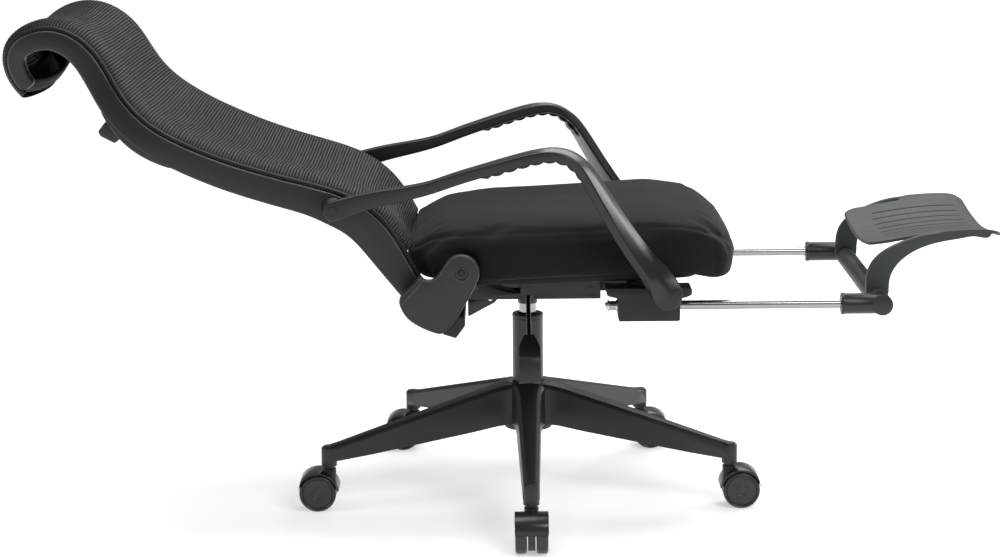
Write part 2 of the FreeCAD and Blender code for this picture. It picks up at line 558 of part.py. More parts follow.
hinge_brackets, runners, rollers, seat_screws = [], [], [], []
for s in (-1, 1):
    lug = rounded([(PIV_B[0] - 22, 378.0), (PIV_B[0] - 20, 420), (PIV_B[0] - 12, 429), (PIV_B[0] + 12, 429), (PIV_B[0] + 20, 420), (PIV_B[0] + 24, 378.0)],
                  [0, 10, 10, 10, 10, 0])
    b = prism_y(lug, s * 218, s * 223)
    zf = SEAT_ZB(PIV_B[0])
    foot = Part.Face(wire([(x, y, SEAT_ZB(x) - 3.0) for x, y in
                           ((PIV_B[0] - 22, s * 150), (PIV_B[0] + 24, s * 150), (PIV_B[0] + 24, s * 223), (PIV_B[0] - 22, s * 223))])).extrude(V(0, 0, 3.0))
    b = b.fuse([foot, cyl_y(PIV_B[0], PIV_B[1], 11.0, s * 215, s * 228)]).cut(pan).cut(cyl_y(PIV_B[0], PIV_B[1], 5.0 + RUN, s * 200, s * 240))
    hinge_brackets.append(b.removeSplitter())
    fl = prism_y([(-12, 343.5), (114, 343.5), (114, SEAT_ZB(114)), (-12, SEAT_ZB(-12))], s * 89, s * 92)
    ft = Part.Face(wire([(x, y, SEAT_ZB(x) - 3.0) for x, y in ((-12, s * 92), (114, s * 92), (114, s * 120), (-12, s * 120))])).extrude(V(0, 0, 3.0))
    rn = fl.fuse(ft)
    for x, z in ROLLERS:
        rn = rn.cut(cyl_y(x, z, 3.0, s * 80, s * 100))
    runners.append(rn.removeSplitter())
    for x, z in ROLLERS:
        rollers.append(fused([cyl_y(x, z, ROLL_R, s * 79.5, s * 88.8), cyl_y(x, z, 3.0, s * 88.8, s * 94), cyl_y(x, z, 6.5, s * 79.5, s * 81.6)]))
    for x in (8.0, 90.0):
        seat_screws.append(cyl_z(x, s * 108, 5.0, SEAT_ZB(x) - 6.2, SEAT_ZB(x) - 3.2))
save("seat_hinge_brackets", hinge_brackets)
save("seat_runners", runners)
save("runner_rollers", rollers)
save("seat_screws", seat_screws)

# ---------------------------------------------------------------------------
# back
# ---------------------------------------------------------------------------
crv = Part.BSplineCurve()
crv.interpolate([V(p[0], 0, p[1]) for p in BACK])
PAR = [crv.parameter(V(p[0], 0, p[1])) for p in BACK]


def rear_normal(i):
    t = crv.tangent(PAR[i])[0]
    # tangent runs from the seat up to the head, the rear is on its left looking from -Y
    return (-t.z, t.x)


NRM = []
for i in range(len(BACK)):
    n = rear_normal(i)
    NRM.append(n)
if NRM[8][1] > 0:
    NRM = [(-a, -b) for a, b in NRM]


def at(i, n):
    return (BACK[i][0] + NRM[i][0] * n, BACK[i][1] + NRM[i][1] * n)


rail_secs, strip_secs = [], []
for i, (x, z, hw, dep) in enumerate(BACK):
    yo, yi = hw + 11.0, hw - 13.0
    sec = []
    for y, n in ((yi, 10.0), (yo - 3.0, 10.0), (yo, 13.0), (yo, dep - 7.0), (yo - 7.0, dep), (yi + 5.0, dep), (yi, dep - 5.0)):
        p = at(i, n)
        sec.append((p[0], -y, p[1]))
    rail_secs.append(sec)
    sec = []
    for y, n in ((hw - 10.0, 3.3), (hw + 3.0, 2.8), (hw + 5.5, 4.8), (hw + 5.5, 9.6), (hw - 10.0, 9.6)):
        p = at(i, n)
        sec.append((p[0], -y, p[1]))
    strip_secs.append(sec)
# mesh: thin sheet over the rails, sagging a little between them
def sag(i, y):
    hw = BACK[i][2]
    depth = {0: 4, 1: 5, 2: 8, 3: 10, 4: 11, 5: 11}.get(i, 10.0)
    if i >= 13:
        depth = 7.0
    if i >= 22:
        depth = 3.5
    q = abs(y) / hw
    return depth * (1.0 - q ** 2.4)


def mesh_section(i):
    hw = BACK[i][2]
    ys = [-hw + 2 * hw * j / 8 for j in range(9)]
    front = [(at(i, sag(i, y)), y) for y in ys]
    rear = [(at(i, sag(i, y) + 2.2), y) for y in reversed(ys)]
    return [(p[0], y, p[1]) for p, y in front + rear]


mesh = loft([mesh_section(i) for i in range(1, len(BACK))])
print("mesh", mesh.isValid(), mesh.Volume)
save("back_mesh", mesh)

strip = loft(strip_secs).cut(mesh)
strip = sorted(strip.Solids, key=lambda q: -q.Volume)[0]
save("mesh_edge_strips", [strip, mirrored(strip)])
rail = loft(rail_secs)
print("rail", rail.isValid(), rail.Volume)
ab = cyl_y(PIV_A[0], PIV_A[1], 15.5, -243.6, -222.0)
rail = rail.fuse(ab).cut(strip).cut(cyl_y(PIV_A[0], PIV_A[1], 5.0 + RUN, -250, -214))
rail = sorted(rail.Solids, key=lambda q: -q.Volume)[0]
save("back_rails", [rail, mirrored(rail)])

# crossbars between the rails: (station, first and last depth)
def cross_between(poly, half):
    return prism_y(poly, -half, half)


low_cross_c = (at(1, 41.0))
low_cross = cyl_y(low_cross_c[0], low_cross_c[1], 8.5, -(BACK[1][2] - 13.0), BACK[1][2] - 13.0).cut([rail, mirrored(rail)])

k = len(BACK) - 1
head_poly = [at(k, 4.0), at(k, 30.0), at(k - 1, 31.0), at(k - 1, 22.0), at(k - 1, 8.0)]
head_cross = prism_y(rounded(head_poly, [3, 3, 3, 0, 3]), -(BACK[k][2] - 9.0), BACK[k][2] - 9.0)
head_cross = head_cross.cut([rail, mirrored(rail), strip, mirrored(strip), mesh])
head_cross = [s for s in head_cross.Solids if s.BoundBox.YMin < 0 < s.BoundBox.YMax][0]
save("back_crossbars", [low_cross, head_cross])

# rear brace: frame behind the upper back, handle across its top, lower bar across its foot
br_top = [at(14, 44.3), at(14, 62.0), at(13, 60.0), at(13, 45.8)]
brace_handle = prism_y(rounded([(-637, 642), (-649, 627), (-624, 610), (-613, 619), (-622, 634)], [3, 4, 4, 3, 3]), -232, 232)
brace_low = prism_y(rounded([at(10, 50.5), at(10, 62.0), at(9, 60.5), at(9, 50.8)], 4), -206, 206)
arm_secs = []
for i, (n0, n1) in zip((14, 13, 12, 11, 10, 9), ((45, 53), (46.5, 56), (47, 60), (47.5, 61), (48.5, 60), (49.8, 57))):
    hw = BACK[i][2]
    yo, yi = min(hw + 6.0, 233.0 + (0 if i < 10 else 8)), min(hw + 6.0, 233.0 + (0 if i < 10 else 8)) - 18.0
    sec = []
    for y, n in ((yi, n0), (yo, n0), (yo, n1 - 3), (yo - 3, n1), (yi + 3, n1), (yi, n1 - 3)):
        p = at(i, n)
        sec.append((p[0], -y, p[1]))
    arm_secs.append(sec)
brace_arm = loft(arm_secs)
brace = fused([brace_handle, brace_low, brace_arm, mirrored(brace_arm)]).cut([rail, mirrored(rail)]).removeSplitter()
brace = sorted(brace.Solids, key=lambda s: -s.Volume)[0]
save("rear_brace", brace)

# ears: outer plate round the hinge bolt, and the foot that takes the rail's end
bx, bz = PIV_B
ear_out = ([(-164.5, 404.0), (-149.0, 400.0)] + arc_pts(bx, bz, 28.0, 142, -25, 14)
           + [(-117.5, 329.0), (-121.0, 326.0), (-132.0, 313.3), (-143.5, 315.5), (-161.0, 322.5), (-177.0, 331.5), (-188.0, 341.0),
              (-195.0, 352.0), (-198.0, 366.0), (-191.0, 374.5)])
ear_plate = prism_y(ear_out, -242, -233)
face_in = ([(-163.0, 401.5), (-149.5, 396.5), (-141.5, 394.5)] + arc_pts(bx, bz, 24.5, 142, -25, 14)
           + [(-120.5, 331.5), (-133.0, 317.5), (-145.0, 319.5), (-162.0, 326.5), (-177.0, 335.0), (-186.0, 343.5), (-191.5, 353.0), (-194.0, 366.0)])
ear_face = prism_y(face_in, -245, -241.9)
foot_block = prism_y(rounded([(-165.0, 399.0), (-157.0, 384.0), (-149.0, 364.0), (-139.0, 340.0), (-133.0, 317.0), (-146.0, 319.5), (-162.0, 326.5),
                              (-184.0, 341.0), (-193.0, 353.0), (-197.0, 366.0), (-193.0, 373.5)], [2, 4, 6, 6, 5, 5, 8, 6, 5, 4, 3]), -233, -190)
ear = fused([ear_plate, ear_face, foot_block]).cut(rail).cut(strip)
ear = ear.cut(cyl_y(bx, bz, 10.0, -246, -240.5)).cut(cyl_y(bx, bz, 5.0, -246, -230))
ear = sorted(ear.removeSplitter().Solids, key=lambda s: -s.Volume)[0]
save("ear_brackets", [ear, mirrored(ear)])
crossbar = prism_y(rounded([(-133.5, 311.0), (-112.5, 304.5), (-98.2, 324.0), (-99.5, 336.5), (-115.0, 338.0), (-128.0, 325.0)], [3, 3, 3, 3, 4, 4]), -232.9, 232.9)
crossbar = crossbar.cut([ear, mirrored(ear)])
crossbar = sorted(crossbar.Solids, key=lambda s: -s.Volume)[0]
save("ear_crossbar", crossbar)
bolts = []
for s in (-1, 1):
    b = fused([cyl_y(bx, bz, 8.2, s * 244.0, s * 240.5), cyl_y(bx, bz, 5.0, s * 240.5, s * 214.6)])
    hexa = [(bx + 3.2 * math.cos(math.radians(60 * q)), bz + 3.2 * math.sin(math.radians(60 * q))) for q in range(6)]
    b = b.cut(prism_y(hexa, s * 245, s * 241.5))
    bolts.append(b)
save("seat_pivot_bolts", bolts)

# ---------------------------------------------------------------------------
# arms
# ---------------------------------------------------------------------------
acrv = Part.BSplineCurve()
acrv.interpolate([V(p[0], 0, p[1]) for p in ARM])


def arm_section(i):
    x, z, y, w, th, roll = ARM[i]
    t = acrv.tangent(acrv.parameter(V(x, 0, z)))[0]
    n = (-t.z, t.x)
    if n[1] < 0:
        n = (-n[0], -n[1])
    b = math.radians(roll)
    f = (n[0] * math.cos(b), -math.sin(b), n[1] * math.cos(b))     # broad face's normal
    e = (-n[0] * math.sin(b), -math.cos(b), -n[1] * math.sin(b))   # across the broad face
    c = min(4.5, 0.3 * th)
    out = []
    for p, q in ((w / 2 - c, th / 2), (w / 2, th / 2 - c), (w / 2, -th / 2 + c), (w / 2 - c, -th / 2),
                 (-w / 2 + c, -th / 2), (-w / 2, -th / 2 + c), (-w / 2, th / 2 - c), (-w / 2 + c, th / 2)):
        out.append((x + e[0] * p + f[0] * q, y + e[1] * p + f[1] * q, z + e[2] * p + f[2] * q))
    return out


arm = loft([arm_section(i) for i in range(len(ARM))])
print("arm", arm.isValid(), arm.Volume)
arm = arm.fuse([cyl_y(PIV_A[0], PIV_A[1], 13.0, -262.0, -244.0), cyl_y(PIV_C[0], PIV_C[1], 23.0, -280.0, -265.0)])
# keep the rear end clear of the rail's boss and the front end clear of the bracket's boss
arm = arm.cut(box(-320, -243.9, 480, -240, -200, 540)).cut(box(150, -264.8, 340, 250, -200, 400))
arm = arm.cut(cyl_y(PIV_A[0], PIV_A[1], 5.0, -270, -240)).cut(cyl_y(PIV_C[0], PIV_C[1], 6.0, -290, -260))
arm = sorted(arm.removeSplitter().Solids, key=lambda s: -s.Volume)[0]
save("arm_right", arm)
save("arm_left", mirrored(arm))

# wavy grip strip under the arm's crest
WAVE = [(-72, 557.5), (-49, 566.5), (-26, 575.5), (-4, 582.5), (17, 586.0), (35, 584.5), (51, 577.5), (63, 566.5), (73, 552.5)]
under = [(-80, 560), (-80, 575), (-20, 592), (40, 600), (70, 585), (92, 560), (83, 541)]
pts = [(-82, 559)]
for (xa, za), (xb, zb) in zip(WAVE, WAVE[1:]):
    mx, mz = (xa + xb) / 2, (za + zb) / 2
    dx, dz = xb - xa, zb - za
    L = math.hypot(dx, dz)
    nx, nz = dz / L, -dx / L
    for q in (0.0, 0.2, 0.4, 0.6, 0.8):
        bump = 4.2 * math.sin(math.pi * q) ** 0.8
        pts.append((xa + dx * q + nx * bump, za + dz * q + nz * bump))
pts += [(82, 538), (100, 540), (84, 580), (60, 596), (20, 602), (-20, 592), (-78, 572)]
insert = prism_y(pts, -293, -271).cut(arm)
insert = sorted(insert.Solids, key=lambda s: s.BoundBox.ZMin + (0 if s.Volume > 3000 else 1e6))[0]
save("arm_grip_right", insert)
save("arm_grip_left", mirrored(insert))


def arm_pins(s):
    out = []
    a = fused([cyl_y(PIV_A[0], PIV_A[1], 7.5, s * 262.0, s * 264.5), cyl_y(PIV_A[0], PIV_A[1], 5.0, s * 262.0, s * 216)])
    c = fused([cyl_y(PIV_C[0], PIV_C[1], 6.0, s * 278.5, s * 238)])
    return [a, c]


save("arm_pins_right", arm_pins(-1))
save("arm_pins_left", arm_pins(1))
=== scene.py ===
import json
import math

import bmesh
import bpy
import numpy as np
from mathutils import Euler, Matrix, Vector

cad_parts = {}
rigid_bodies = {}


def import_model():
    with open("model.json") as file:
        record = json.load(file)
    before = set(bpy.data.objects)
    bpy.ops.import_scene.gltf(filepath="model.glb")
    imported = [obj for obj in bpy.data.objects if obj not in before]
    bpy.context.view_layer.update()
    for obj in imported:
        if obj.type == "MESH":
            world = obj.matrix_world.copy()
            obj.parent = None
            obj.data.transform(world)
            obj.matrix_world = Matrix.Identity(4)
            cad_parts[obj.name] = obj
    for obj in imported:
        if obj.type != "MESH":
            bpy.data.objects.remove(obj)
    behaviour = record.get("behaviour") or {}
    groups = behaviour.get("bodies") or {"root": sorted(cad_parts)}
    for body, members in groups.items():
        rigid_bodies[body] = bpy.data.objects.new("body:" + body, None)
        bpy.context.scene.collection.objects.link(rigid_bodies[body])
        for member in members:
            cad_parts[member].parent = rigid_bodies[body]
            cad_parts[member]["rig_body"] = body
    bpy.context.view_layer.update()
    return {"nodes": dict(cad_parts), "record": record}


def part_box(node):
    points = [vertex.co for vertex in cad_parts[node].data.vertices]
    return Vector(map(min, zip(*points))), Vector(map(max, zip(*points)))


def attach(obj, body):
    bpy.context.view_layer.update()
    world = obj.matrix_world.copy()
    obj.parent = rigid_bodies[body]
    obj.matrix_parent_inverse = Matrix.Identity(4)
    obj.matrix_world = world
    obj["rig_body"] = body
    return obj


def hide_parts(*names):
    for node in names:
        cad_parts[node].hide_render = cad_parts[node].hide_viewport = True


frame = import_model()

NODES = frame["nodes"]
SCENE = bpy.context.scene
MM = 0.001

# ===========================================================================
# camera, floor and light
# ===========================================================================
cam_data = bpy.data.cameras.new("camera")
cam_data.sensor_width = 36.0
cam_data.sensor_fit = "HORIZONTAL"
cam_data.lens = 2479.7 * 36.0 / 1000.0
cam_data.clip_end = 60.0
cam = bpy.data.objects.new("camera", cam_data)
cam.location = (-0.0444, -3.9404, 1.1182)
cam.rotation_euler = (Matrix.Rotation(math.radians(90.0 - 11.0), 4, "X") @ Matrix.Rotation(math.radians(-0.475), 4, "Z")).to_euler()
SCENE.collection.objects.link(cam)
SCENE.camera = cam


def area_light(name, loc, target, size, power, colour=(1, 1, 1)):
    d = bpy.data.lights.new(name, "AREA")
    d.shape = "RECTANGLE"
    d.size, d.size_y = size
    d.energy = power
    d.color = colour
    o = bpy.data.objects.new(name, d)
    o.location = loc
    o.rotation_euler = (Vector(target) - Vector(loc)).to_track_quat("-Z", "Y").to_euler()
    SCENE.collection.objects.link(o)
    return o


area_light("key_softbox", (1.5, -2.4, 2.4), (0.0, 0.0, 0.45), (1.8, 1.4), 46.0, (1.0, 0.995, 0.985))
area_light("top_softbox", (-0.2, 0.4, 2.9), (-0.1, 0.0, 0.5), (2.6, 1.4), 62.0, (0.985, 0.99, 1.0))
area_light("left_softbox", (-3.0, -1.0, 1.9), (-0.3, 0.0, 0.6), (1.2, 1.6), 18.0, (0.97, 0.985, 1.0))
area_light("back_softbox", (1.0, 3.0, 2.4), (0.0, 0.0, 0.5), (2.4, 1.2), 30.0, (1.0, 1.0, 1.0))

area_light("right_softbox", (3.0, 1.9, 1.25), (0.15, -0.2, 0.48), (1.3, 1.5), 34.0, (0.96, 0.985, 1.0))

world = bpy.data.worlds.new("studio")
SCENE.world = world
world.use_nodes = True
world.node_tree.nodes["Background"].inputs[0].default_value = (1.0, 1.0, 1.0, 1.0)
world.node_tree.nodes["Background"].inputs[1].default_value = 0.26
SCENE.view_settings.view_transform = "Standard"


# ===========================================================================
# material helpers
# ===========================================================================
class Net:
    """Small wrapper for building a material's nodes."""

    def __init__(self, name):
        self.m = bpy.data.materials.new(name)
        self.m.use_nodes = True
        self.t = self.m.node_tree
        self.b = self.t.nodes["Principled BSDF"]

    def node(self, kind, **props):
        n = self.t.nodes.new(kind)
        for k, v in props.items():
            setattr(n, k, v)
        return n

    def link(self, a, b):
        self.t.links.new(a, b)

    def math(self, op, a, b=None, clamp=False):
        n = self.node("ShaderNodeMath", operation=op, use_clamp=clamp)
        for i, v in enumerate((a, b)):
            if v is None:
                continue
            if isinstance(v, (int, float)):
                n.inputs[i].default_value = v
            else:
                self.link(v, n.inputs[i])
        return n.outputs[0]

    def coords(self):
        return self.node("ShaderNodeTexCoord").outputs["Object"]

    def scaled(self, vec, sx, sy, sz):
        n = self.node("ShaderNodeMapping")
        n.inputs["Scale"].default_value = (sx, sy, sz)
        self.link(vec, n.inputs["Vector"])
        return n.outputs[0]

    def noise(self, vec, scale, detail=3.0, rough=0.5, distortion=0.0):
        n = self.node("ShaderNodeTexNoise")
        n.inputs["Scale"].default_value = scale
        n.inputs["Detail"].default_value = detail
        n.inputs["Roughness"].default_value = rough
        n.inputs["Distortion"].default_value = distortion
        self.link(vec, n.inputs["Vector"])
        return n.outputs["Fac"]

    def ramp(self, fac, stops, interp="LINEAR"):
        n = self.node("ShaderNodeValToRGB")
        n.color_ramp.interpolation = interp
        e = n.color_ramp.elements
        while len(e) < len(stops):
            e.new(0.5)
        for el, (pos, col) in zip(e, stops):
            el.position = pos
            el.color = (*col, 1.0) if len(col) == 3 else col
        self.link(fac, n.inputs[0])
        return n.outputs[0]

    def remap(self, fac, a, b, lo, hi):
        n = self.node("ShaderNodeMapRange")
        for i, v in enumerate((a, b, lo, hi)):
            n.inputs[i + 1].default_value = v
        self.link(fac, n.inputs[0])
        return n.outputs[0]

    def mix(self, fac, a, b):
        n = self.node("ShaderNodeMix", data_type="RGBA")
        if isinstance(fac, (int, float)):
            n.inputs[0].default_value = fac
        else:
            self.link(fac, n.inputs[0])
        for i, v in ((6, a), (7, b)):
            if isinstance(v, tuple):
                n.inputs[i].default_value = (*v, 1.0)
            else:
                self.link(v, n.inputs[i])
        return n.outputs[2]

    def bump(self, height, strength, dist, normal=None):
        n = self.node("ShaderNodeBump")
        n.inputs["Strength"].default_value = strength
        n.inputs["Distance"].default_value = dist
        self.link(height, n.inputs["Height"])
        if normal is not None:
            self.link(normal, n.inputs["Normal"])
        return n.outputs[0]

    def set(self, **kw):
        for k, v in kw.items():
            self.b.inputs[k.replace("_", " ")].default_value = v


def moulded(name, colour, rough=0.42, grain=0.35, vary=0.10, coat=0.0, spec=0.5, grain_mm=0.9, edge=0.0):
    """Injection-moulded plastic: fine etched grain, slow random tone and gloss variation, a little lighter on convex
    edges as a painted highlight.
    """
    n = Net(name)
    c = n.coords()
    slow = n.noise(c, 9.0, 3.0, 0.55)
    mid = n.noise(c, 70.0, 4.0, 0.6)
    both = n.math("ADD", n.math("MULTIPLY", slow, 0.65), n.math("MULTIPLY", mid, 0.35))
    lo = tuple(max(0.0, v * (1 - vary)) for v in colour)
    hi = tuple(v * (1 + vary) for v in colour)
    col = n.ramp(both, [(0.3, lo), (0.7, hi)])
    # painted highlight: convex edges (by Pointiness) are mixed towards a paler colour
    if edge > 0:
        g = n.node("ShaderNodeNewGeometry")
        e = n.remap(g.outputs["Pointiness"], 0.51, 0.60, 0.0, edge)
        col = n.mix(e, col, tuple(min(1.0, v * 2.6 + 0.01) for v in colour))
    n.link(col, n.b.inputs["Base Color"])
    n.link(n.remap(n.math("ADD", n.math("MULTIPLY", slow, 0.5), n.math("MULTIPLY", mid, 0.5)), 0.3, 0.7, rough - 0.05, rough + 0.06), n.b.inputs["Roughness"])
    v = n.node("ShaderNodeTexVoronoi", feature="SMOOTH_F1")
    v.inputs["Scale"].default_value = 1.0 / (grain_mm * MM)
    n.link(c, v.inputs["Vector"])
    fine = n.noise(c, 2.2 / (grain_mm * MM), 2.0, 0.6)
    h = n.math("ADD", n.math("MULTIPLY", v.outputs["Distance"], 0.7), n.math("MULTIPLY", fine, 0.5))
    n.link(n.bump(h, grain, 0.00012), n.b.inputs["Normal"])
    n.set(Specular_IOR_Level=spec)
    if coat:
        n.set(Coat_Weight=coat, Coat_Roughness=0.25)
    return n.m


def metal(name, colour, rough, brushed=0.0, scale=600.0):
    n = Net(name)
    c = n.coords()
    s = n.noise(n.scaled(c, 1.0, 1.0, 1.0), 40.0, 4.0, 0.6)
    n.link(n.ramp(s, [(0.35, tuple(v * 0.93 for v in colour)), (0.7, colour)]), n.b.inputs["Base Color"])
    f = n.noise(c, scale, 2.0, 0.5)
    n.link(n.remap(n.math("ADD", n.math("MULTIPLY", s, 0.6), n.math("MULTIPLY", f, 0.4)), 0.3, 0.7, max(0.02, rough - 0.03), rough + 0.05), n.b.inputs["Roughness"])
    if brushed:
        n.link(n.bump(f, brushed, 0.00008), n.b.inputs["Normal"])
    n.set(Metallic=1.0)
    return n.m


def painted(name, colour, rough=0.38):
    """Powder coat: satin with orange-peel."""
    n = Net(name)
    c = n.coords()
    s = n.noise(c, 15.0, 3.0, 0.5)
    n.link(n.ramp(s, [(0.3, tuple(v * 0.85 for v in colour)), (0.7, tuple(v * 1.15 for v in colour))]), n.b.inputs["Base Color"])
    peel = n.noise(c, 900.0, 2.0, 0.5)
    n.link(n.remap(s, 0.3, 0.7, rough - 0.04, rough + 0.05), n.b.inputs["Roughness"])
    n.link(n.bump(peel, 0.3, 0.00015), n.b.inputs["Normal"])
    n.set(Specular_IOR_Level=0.5)
    return n.m


M_BASE = moulded("base_nylon", (0.0125, 0.0135, 0.0155), rough=0.40, grain=0.30, edge=0.5, spec=0.42)
M_HOOD = moulded("caster_hood_nylon", (0.0085, 0.009, 0.0105), rough=0.26, grain=0.12, edge=0.5)
M_WHEEL = moulded("caster_wheel_nylon", (0.012, 0.013, 0.015), rough=0.30, grain=0.18, edge=0.5)
M_RAIL = moulded("rail_plastic", (0.0108, 0.0110, 0.0118), rough=0.46, grain=0.40, spec=0.36)
M_ARM = moulded("arm_plastic", (0.0095, 0.0105, 0.0120), rough=0.31, grain=0.12, vary=0.06, spec=0.40)
# rail edge bead: glossier and lighter than the rail; the lighter colour is a painted highlight along the rail's top
# edge
M_BEAD = moulded("rail_edge_painted_highlight", (0.020, 0.0205, 0.022), rough=0.20, grain=0.05, spec=0.7)
M_GRIP = moulded("arm_grip_plastic", (0.0065, 0.0067, 0.0078), rough=0.42, grain=0.3, spec=0.4)
M_STRIP = moulded("edge_strip_plastic", (0.0040, 0.0042, 0.0050), rough=0.50, grain=0.3, spec=0.30)
M_EAR = moulded("ear_plastic", (0.0135, 0.0138, 0.0150), rough=0.40, grain=0.45, edge=0.7, spec=0.42)
# ear rim bead: lighter and glossier than the ear; the lighter colour is a painted highlight along the rim
M_EARBEAD = moulded("ear_edge_painted_highlight", (0.024, 0.0245, 0.026), rough=0.30, grain=0.1, spec=0.6)
# near-black: the bolt heads' own colour, and painted shade in the ear's bolt recess and inside the footrest slots
M_BLACK_AND_SHADE = moulded("bolt_black_and_painted_shade", (0.0025, 0.0025, 0.0028), rough=0.35, grain=0.1, spec=0.3)
M_BRACKET = moulded("bracket_plastic", (0.0072, 0.0073, 0.0082), rough=0.50, grain=0.45, edge=0.5, spec=0.32)
M_PAD = moulded("footrest_plastic", (0.0380, 0.0450, 0.0460), rough=0.50, grain=0.4, vary=0.05, spec=0.22)
# near-black matte: painted shade for the inside of the head end's hook
M_HEAD_BAR_SHADE = moulded("head_bar_painted_shade", (0.0040, 0.0041, 0.0048), rough=0.72, grain=0.3, spec=0.10)
M_ELBOW = moulded("elbow_plastic", (0.0105, 0.0110, 0.0120), rough=0.36, grain=0.25, edge=0.5, spec=0.42)
M_LEVER = moulded("lever_plastic", (0.0085, 0.0087, 0.0098), rough=0.38, grain=0.25, edge=0.4, spec=0.4)
M_PAN = moulded("seat_pan_plastic", (0.0050, 0.0050, 0.0058), rough=0.55, grain=0.5, spec=0.25)
M_BUSH = moulded("bush_plastic", (0.0070, 0.0070, 0.0080), rough=0.35, grain=0.1)
M_STEEL = painted("black_powder_coat", (0.0038, 0.0039, 0.0045))
M_TUBE = painted("lift_tube_coat", (0.0125, 0.0132, 0.0150), rough=0.34)
M_CHROME = metal("chrome_plate", (0.33, 0.325, 0.32), 0.12, 0.02)
M_ZINC = metal("zinc_plate", (0.62, 0.62, 0.63), 0.26, 0.25)

CAD_LOOK = {
    "five_star_base": M_BASE, "gas_lift_outer_tube": M_TUBE, "guide_bush": M_BUSH, "thrust_bearing": M_ZINC, "caster_stems": M_STEEL,
    "piston_rod": M_ZINC, "retaining_clip": M_ZINC, "gas_cylinder": M_CHROME, "chassis_tray": M_STEEL, "guide_plates": M_STEEL,
    "rear_stop_bracket": M_STEEL, "chassis_fasteners": M_ZINC, "front_beam": M_STEEL, "front_brackets": M_BRACKET, "rod_bushes": M_BUSH,
    "height_lever_rod": M_STEEL, "height_lever_paddle": M_LEVER, "release_button": M_ZINC, "recline_lever_shaft": M_STEEL,
    "recline_lever_handle": M_LEVER, "footrest_rods": M_CHROME, "footrest_elbows": M_ELBOW, "rod_stop_washers": M_ZINC,
    "footrest_cross_shaft": M_CHROME, "footrest_pad": M_PAD, "seat_pan": M_PAN, "seat_cushion": M_PAN, "seat_hinge_brackets": M_STEEL,
    "seat_runners": M_STEEL, "runner_rollers": M_BUSH, "seat_screws": M_ZINC, "back_rails": M_RAIL, "mesh_edge_strips": M_STRIP,
    "back_crossbars": M_RAIL, "rear_brace": M_RAIL, "back_mesh": M_STRIP, "ear_brackets": M_EAR, "ear_crossbar": M_BRACKET,
    "seat_pivot_bolts": M_STEEL, "arm_right": M_ARM, "arm_left": M_ARM, "arm_grip_right": M_GRIP, "arm_grip_left": M_GRIP,
    "arm_pins_right": M_STEEL, "arm_pins_left": M_STEEL,
}
for k in range(1, 6):
    CAD_LOOK["caster_%d_hood" % k] = M_HOOD
    CAD_LOOK["caster_%d_wheels" % k] = M_WHEEL
    CAD_LOOK["caster_%d_axle" % k] = M_STEEL
for name, obj in NODES.items():
    obj.data.materials.clear()
    obj.data.materials.append(CAD_LOOK[name])


# ===========================================================================
# mesh helpers (all sizes in millimetres, in the frame's axes)
# ===========================================================================
def make(name, verts, faces, mat, sharp=None, uv=None, fix=True):
    me = bpy.data.meshes.new(name)
    me.from_pydata([tuple(v) for v in (np.asarray(verts, float) * MM)], [], [tuple(int(i) for i in f) for f in faces])
    me.update()
    if fix:
        b = bmesh.new()
        b.from_mesh(me)
        bmesh.ops.recalc_face_normals(b, faces=b.faces)
        b.to_mesh(me)
        b.free()
    me.shade_smooth()
    if sharp is not None:
        me.set_sharp_from_angle(angle=math.radians(sharp))
    me.materials.append(mat)
    o = bpy.data.objects.new(name, me)
    SCENE.collection.objects.link(o)
    return o


def tube_faces(S, N, cap0=True, cap1=True, off=0):
    f = []
    for i in range(S - 1):
        for j in range(N):
            k = (j + 1) % N
            f.append((off + i * N + j, off + i * N + k, off + (i + 1) * N + k, off + (i + 1) * N + j))
    if cap0:
        f.append(tuple(off + j for j in range(N - 1, -1, -1)))
    if cap1:
        f.append(tuple(off + (S - 1) * N + j for j in range(N)))
    return f


def sweep(name, loops, mat, sharp=None, cap0=True, cap1=True):
    loops = np.asarray(loops, float)
    S, N, _ = loops.shape
    return make(name, loops.reshape(-1, 3), tube_faces(S, N, cap0, cap1), mat, sharp)


def mirror_y(o, name):
    me = o.data.copy()
    me.transform(Matrix.Scale(-1.0, 4, Vector((0, 1, 0))))
    me.flip_normals()
    n = bpy.data.objects.new(name, me)
    SCENE.collection.objects.link(n)
    return n


def join(name, objs):
    """one object from several, keeping their materials"""
    verts, faces, mats, idx, smooth = [], [], [], [], []
    off = 0
    for o in objs:
        m = o.data
        slot_of = []
        for q in m.materials:
            if q not in mats:
                mats.append(q)
            slot_of.append(mats.index(q))
        verts += [v.co[:] for v in m.vertices]
        for p in m.polygons:
            faces.append([off + i for i in p.vertices])
            idx.append(slot_of[p.material_index] if slot_of else 0)
            smooth.append(p.use_smooth)
        off += len(m.vertices)
    me = bpy.data.meshes.new(name)
    me.from_pydata(verts, [], faces)
    for q in mats:
        me.materials.append(q)
    me.polygons.foreach_set("material_index", idx)
    me.polygons.foreach_set("use_smooth", smooth)
    me.update()
    me.set_sharp_from_angle(angle=math.radians(40))
    n = bpy.data.objects.new(name, me)
    SCENE.collection.objects.link(n)
    for o in objs:
        bpy.data.objects.remove(o)
    return n


